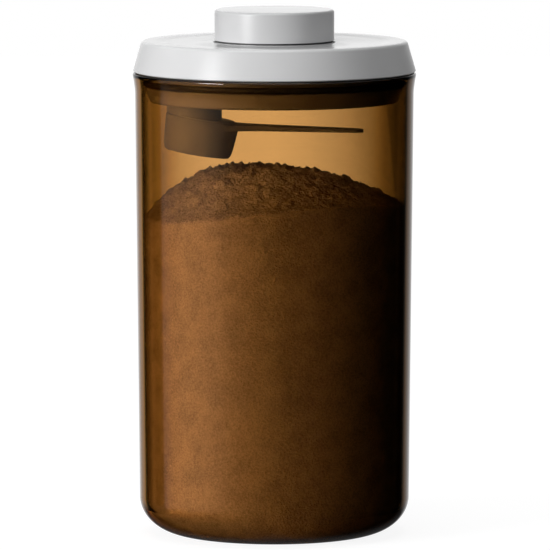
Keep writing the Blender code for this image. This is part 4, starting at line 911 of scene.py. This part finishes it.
links.new(surface, nodes["Material Output"].inputs["Surface"])
floor.data.materials.append(pale)

soft_lamp("left lamp", LAMP_TURN, LAMP_RISE, LAMP_SPREAD, LAMP_STRENGTH)
soft_lamp("top lamp", TOP_LAMP_TURN, TOP_LAMP_RISE, TOP_LAMP_SPREAD, TOP_LAMP_STRENGTH)

world = bpy.data.worlds.new("studio")
bpy.context.scene.world = world
world.use_nodes = True
nodes = world.node_tree.nodes
links = world.node_tree.links
coordinate = nodes.new("ShaderNodeTexCoord")
split = nodes.new("ShaderNodeSeparateXYZ")
links.new(coordinate.outputs["Generated"], split.inputs[0])
left = worked_out(nodes, links, "MULTIPLY", split.outputs["X"], -1)
front = worked_out(nodes, links, "MULTIPLY", split.outputs["Y"], -1)
bearing = worked_out(nodes, links, "ARCTAN2", left, front)
share_round = mapped(nodes, links, bearing, -math.pi, math.pi)
ring_stops = [((degrees + 180) / 360, (light, light, light)) for degrees, light in STUDIO_RING]
ring = colour_ramp(nodes, links, share_round, ring_stops)
overhead = mapped(nodes, links, split.outputs["Z"], OVERHEAD_START, OVERHEAD_END)
dome = mixed(nodes, links, overhead, ring, OVERHEAD_LIGHT)
path = nodes.new("ShaderNodeLightPath")
seen, mirrored = seen_directly(nodes, links, path)

# Cards on the right are dimmed where they show through the jar, and so is all that lies low.
right = mapped(nodes, links, split.outputs["X"], -RIGHT_BLEND, RIGHT_BLEND, 1.0, RIGHT_SHARE)
not_through = worked_out(nodes, links, "SUBTRACT", 1.0, path.outputs["Is Transmission Ray"])
side_share = worked_out(nodes, links, "MAXIMUM", not_through, right)
above = mapped(nodes, links, split.outputs["Z"], BELOW_END, BELOW_START, BELOW_LEAST)
ring_light = scaled(nodes, links, dome, worked_out(nodes, links, "MULTIPLY", side_share, above))
ambient = mapped(nodes, links, split.outputs["Y"], AMBIENT_START, AMBIENT_END, AMBIENT_FRONT, AMBIENT_BACK)
soft = mixed(nodes, links, mirrored, ambient, ring_light)
sky = mixed(nodes, links, seen, soft, (1, 1, 1))
links.new(sky, nodes["Background"].inputs["Color"])
nodes["Background"].inputs["Strength"].default_value = 1.0

# Camera
# It stands far off in front, a little above the lid, and looks down on the container. Its
# place and its lens were fitted to the ovals of the button, the lid and the foot.

CAMERA_DISTANCE = 3.20
CAMERA_HEIGHT = 0.4534
CAMERA_PITCH = math.radians(5.968)
FOCAL_PIXELS = 7000.0
FRAME_PIXELS = 550
AXIS_PIXEL = 274.4
SENSOR_WIDTH = 36.0
SIGHT_END = 20.0

bpy.ops.object.camera_add(location=(0, -CAMERA_DISTANCE, CAMERA_HEIGHT))
camera = bpy.context.active_object
camera.name = "camera"
camera.rotation_euler = (math.pi / 2 - CAMERA_PITCH, 0, 0)
camera.data.sensor_width = SENSOR_WIDTH
camera.data.lens = SENSOR_WIDTH * FOCAL_PIXELS / FRAME_PIXELS
camera.data.shift_x = (FRAME_PIXELS / 2 - AXIS_PIXEL) / FRAME_PIXELS
camera.data.clip_end = SIGHT_END
bpy.context.scene.camera = camera
bpy.context.scene.view_settings.view_transform = "Standard"
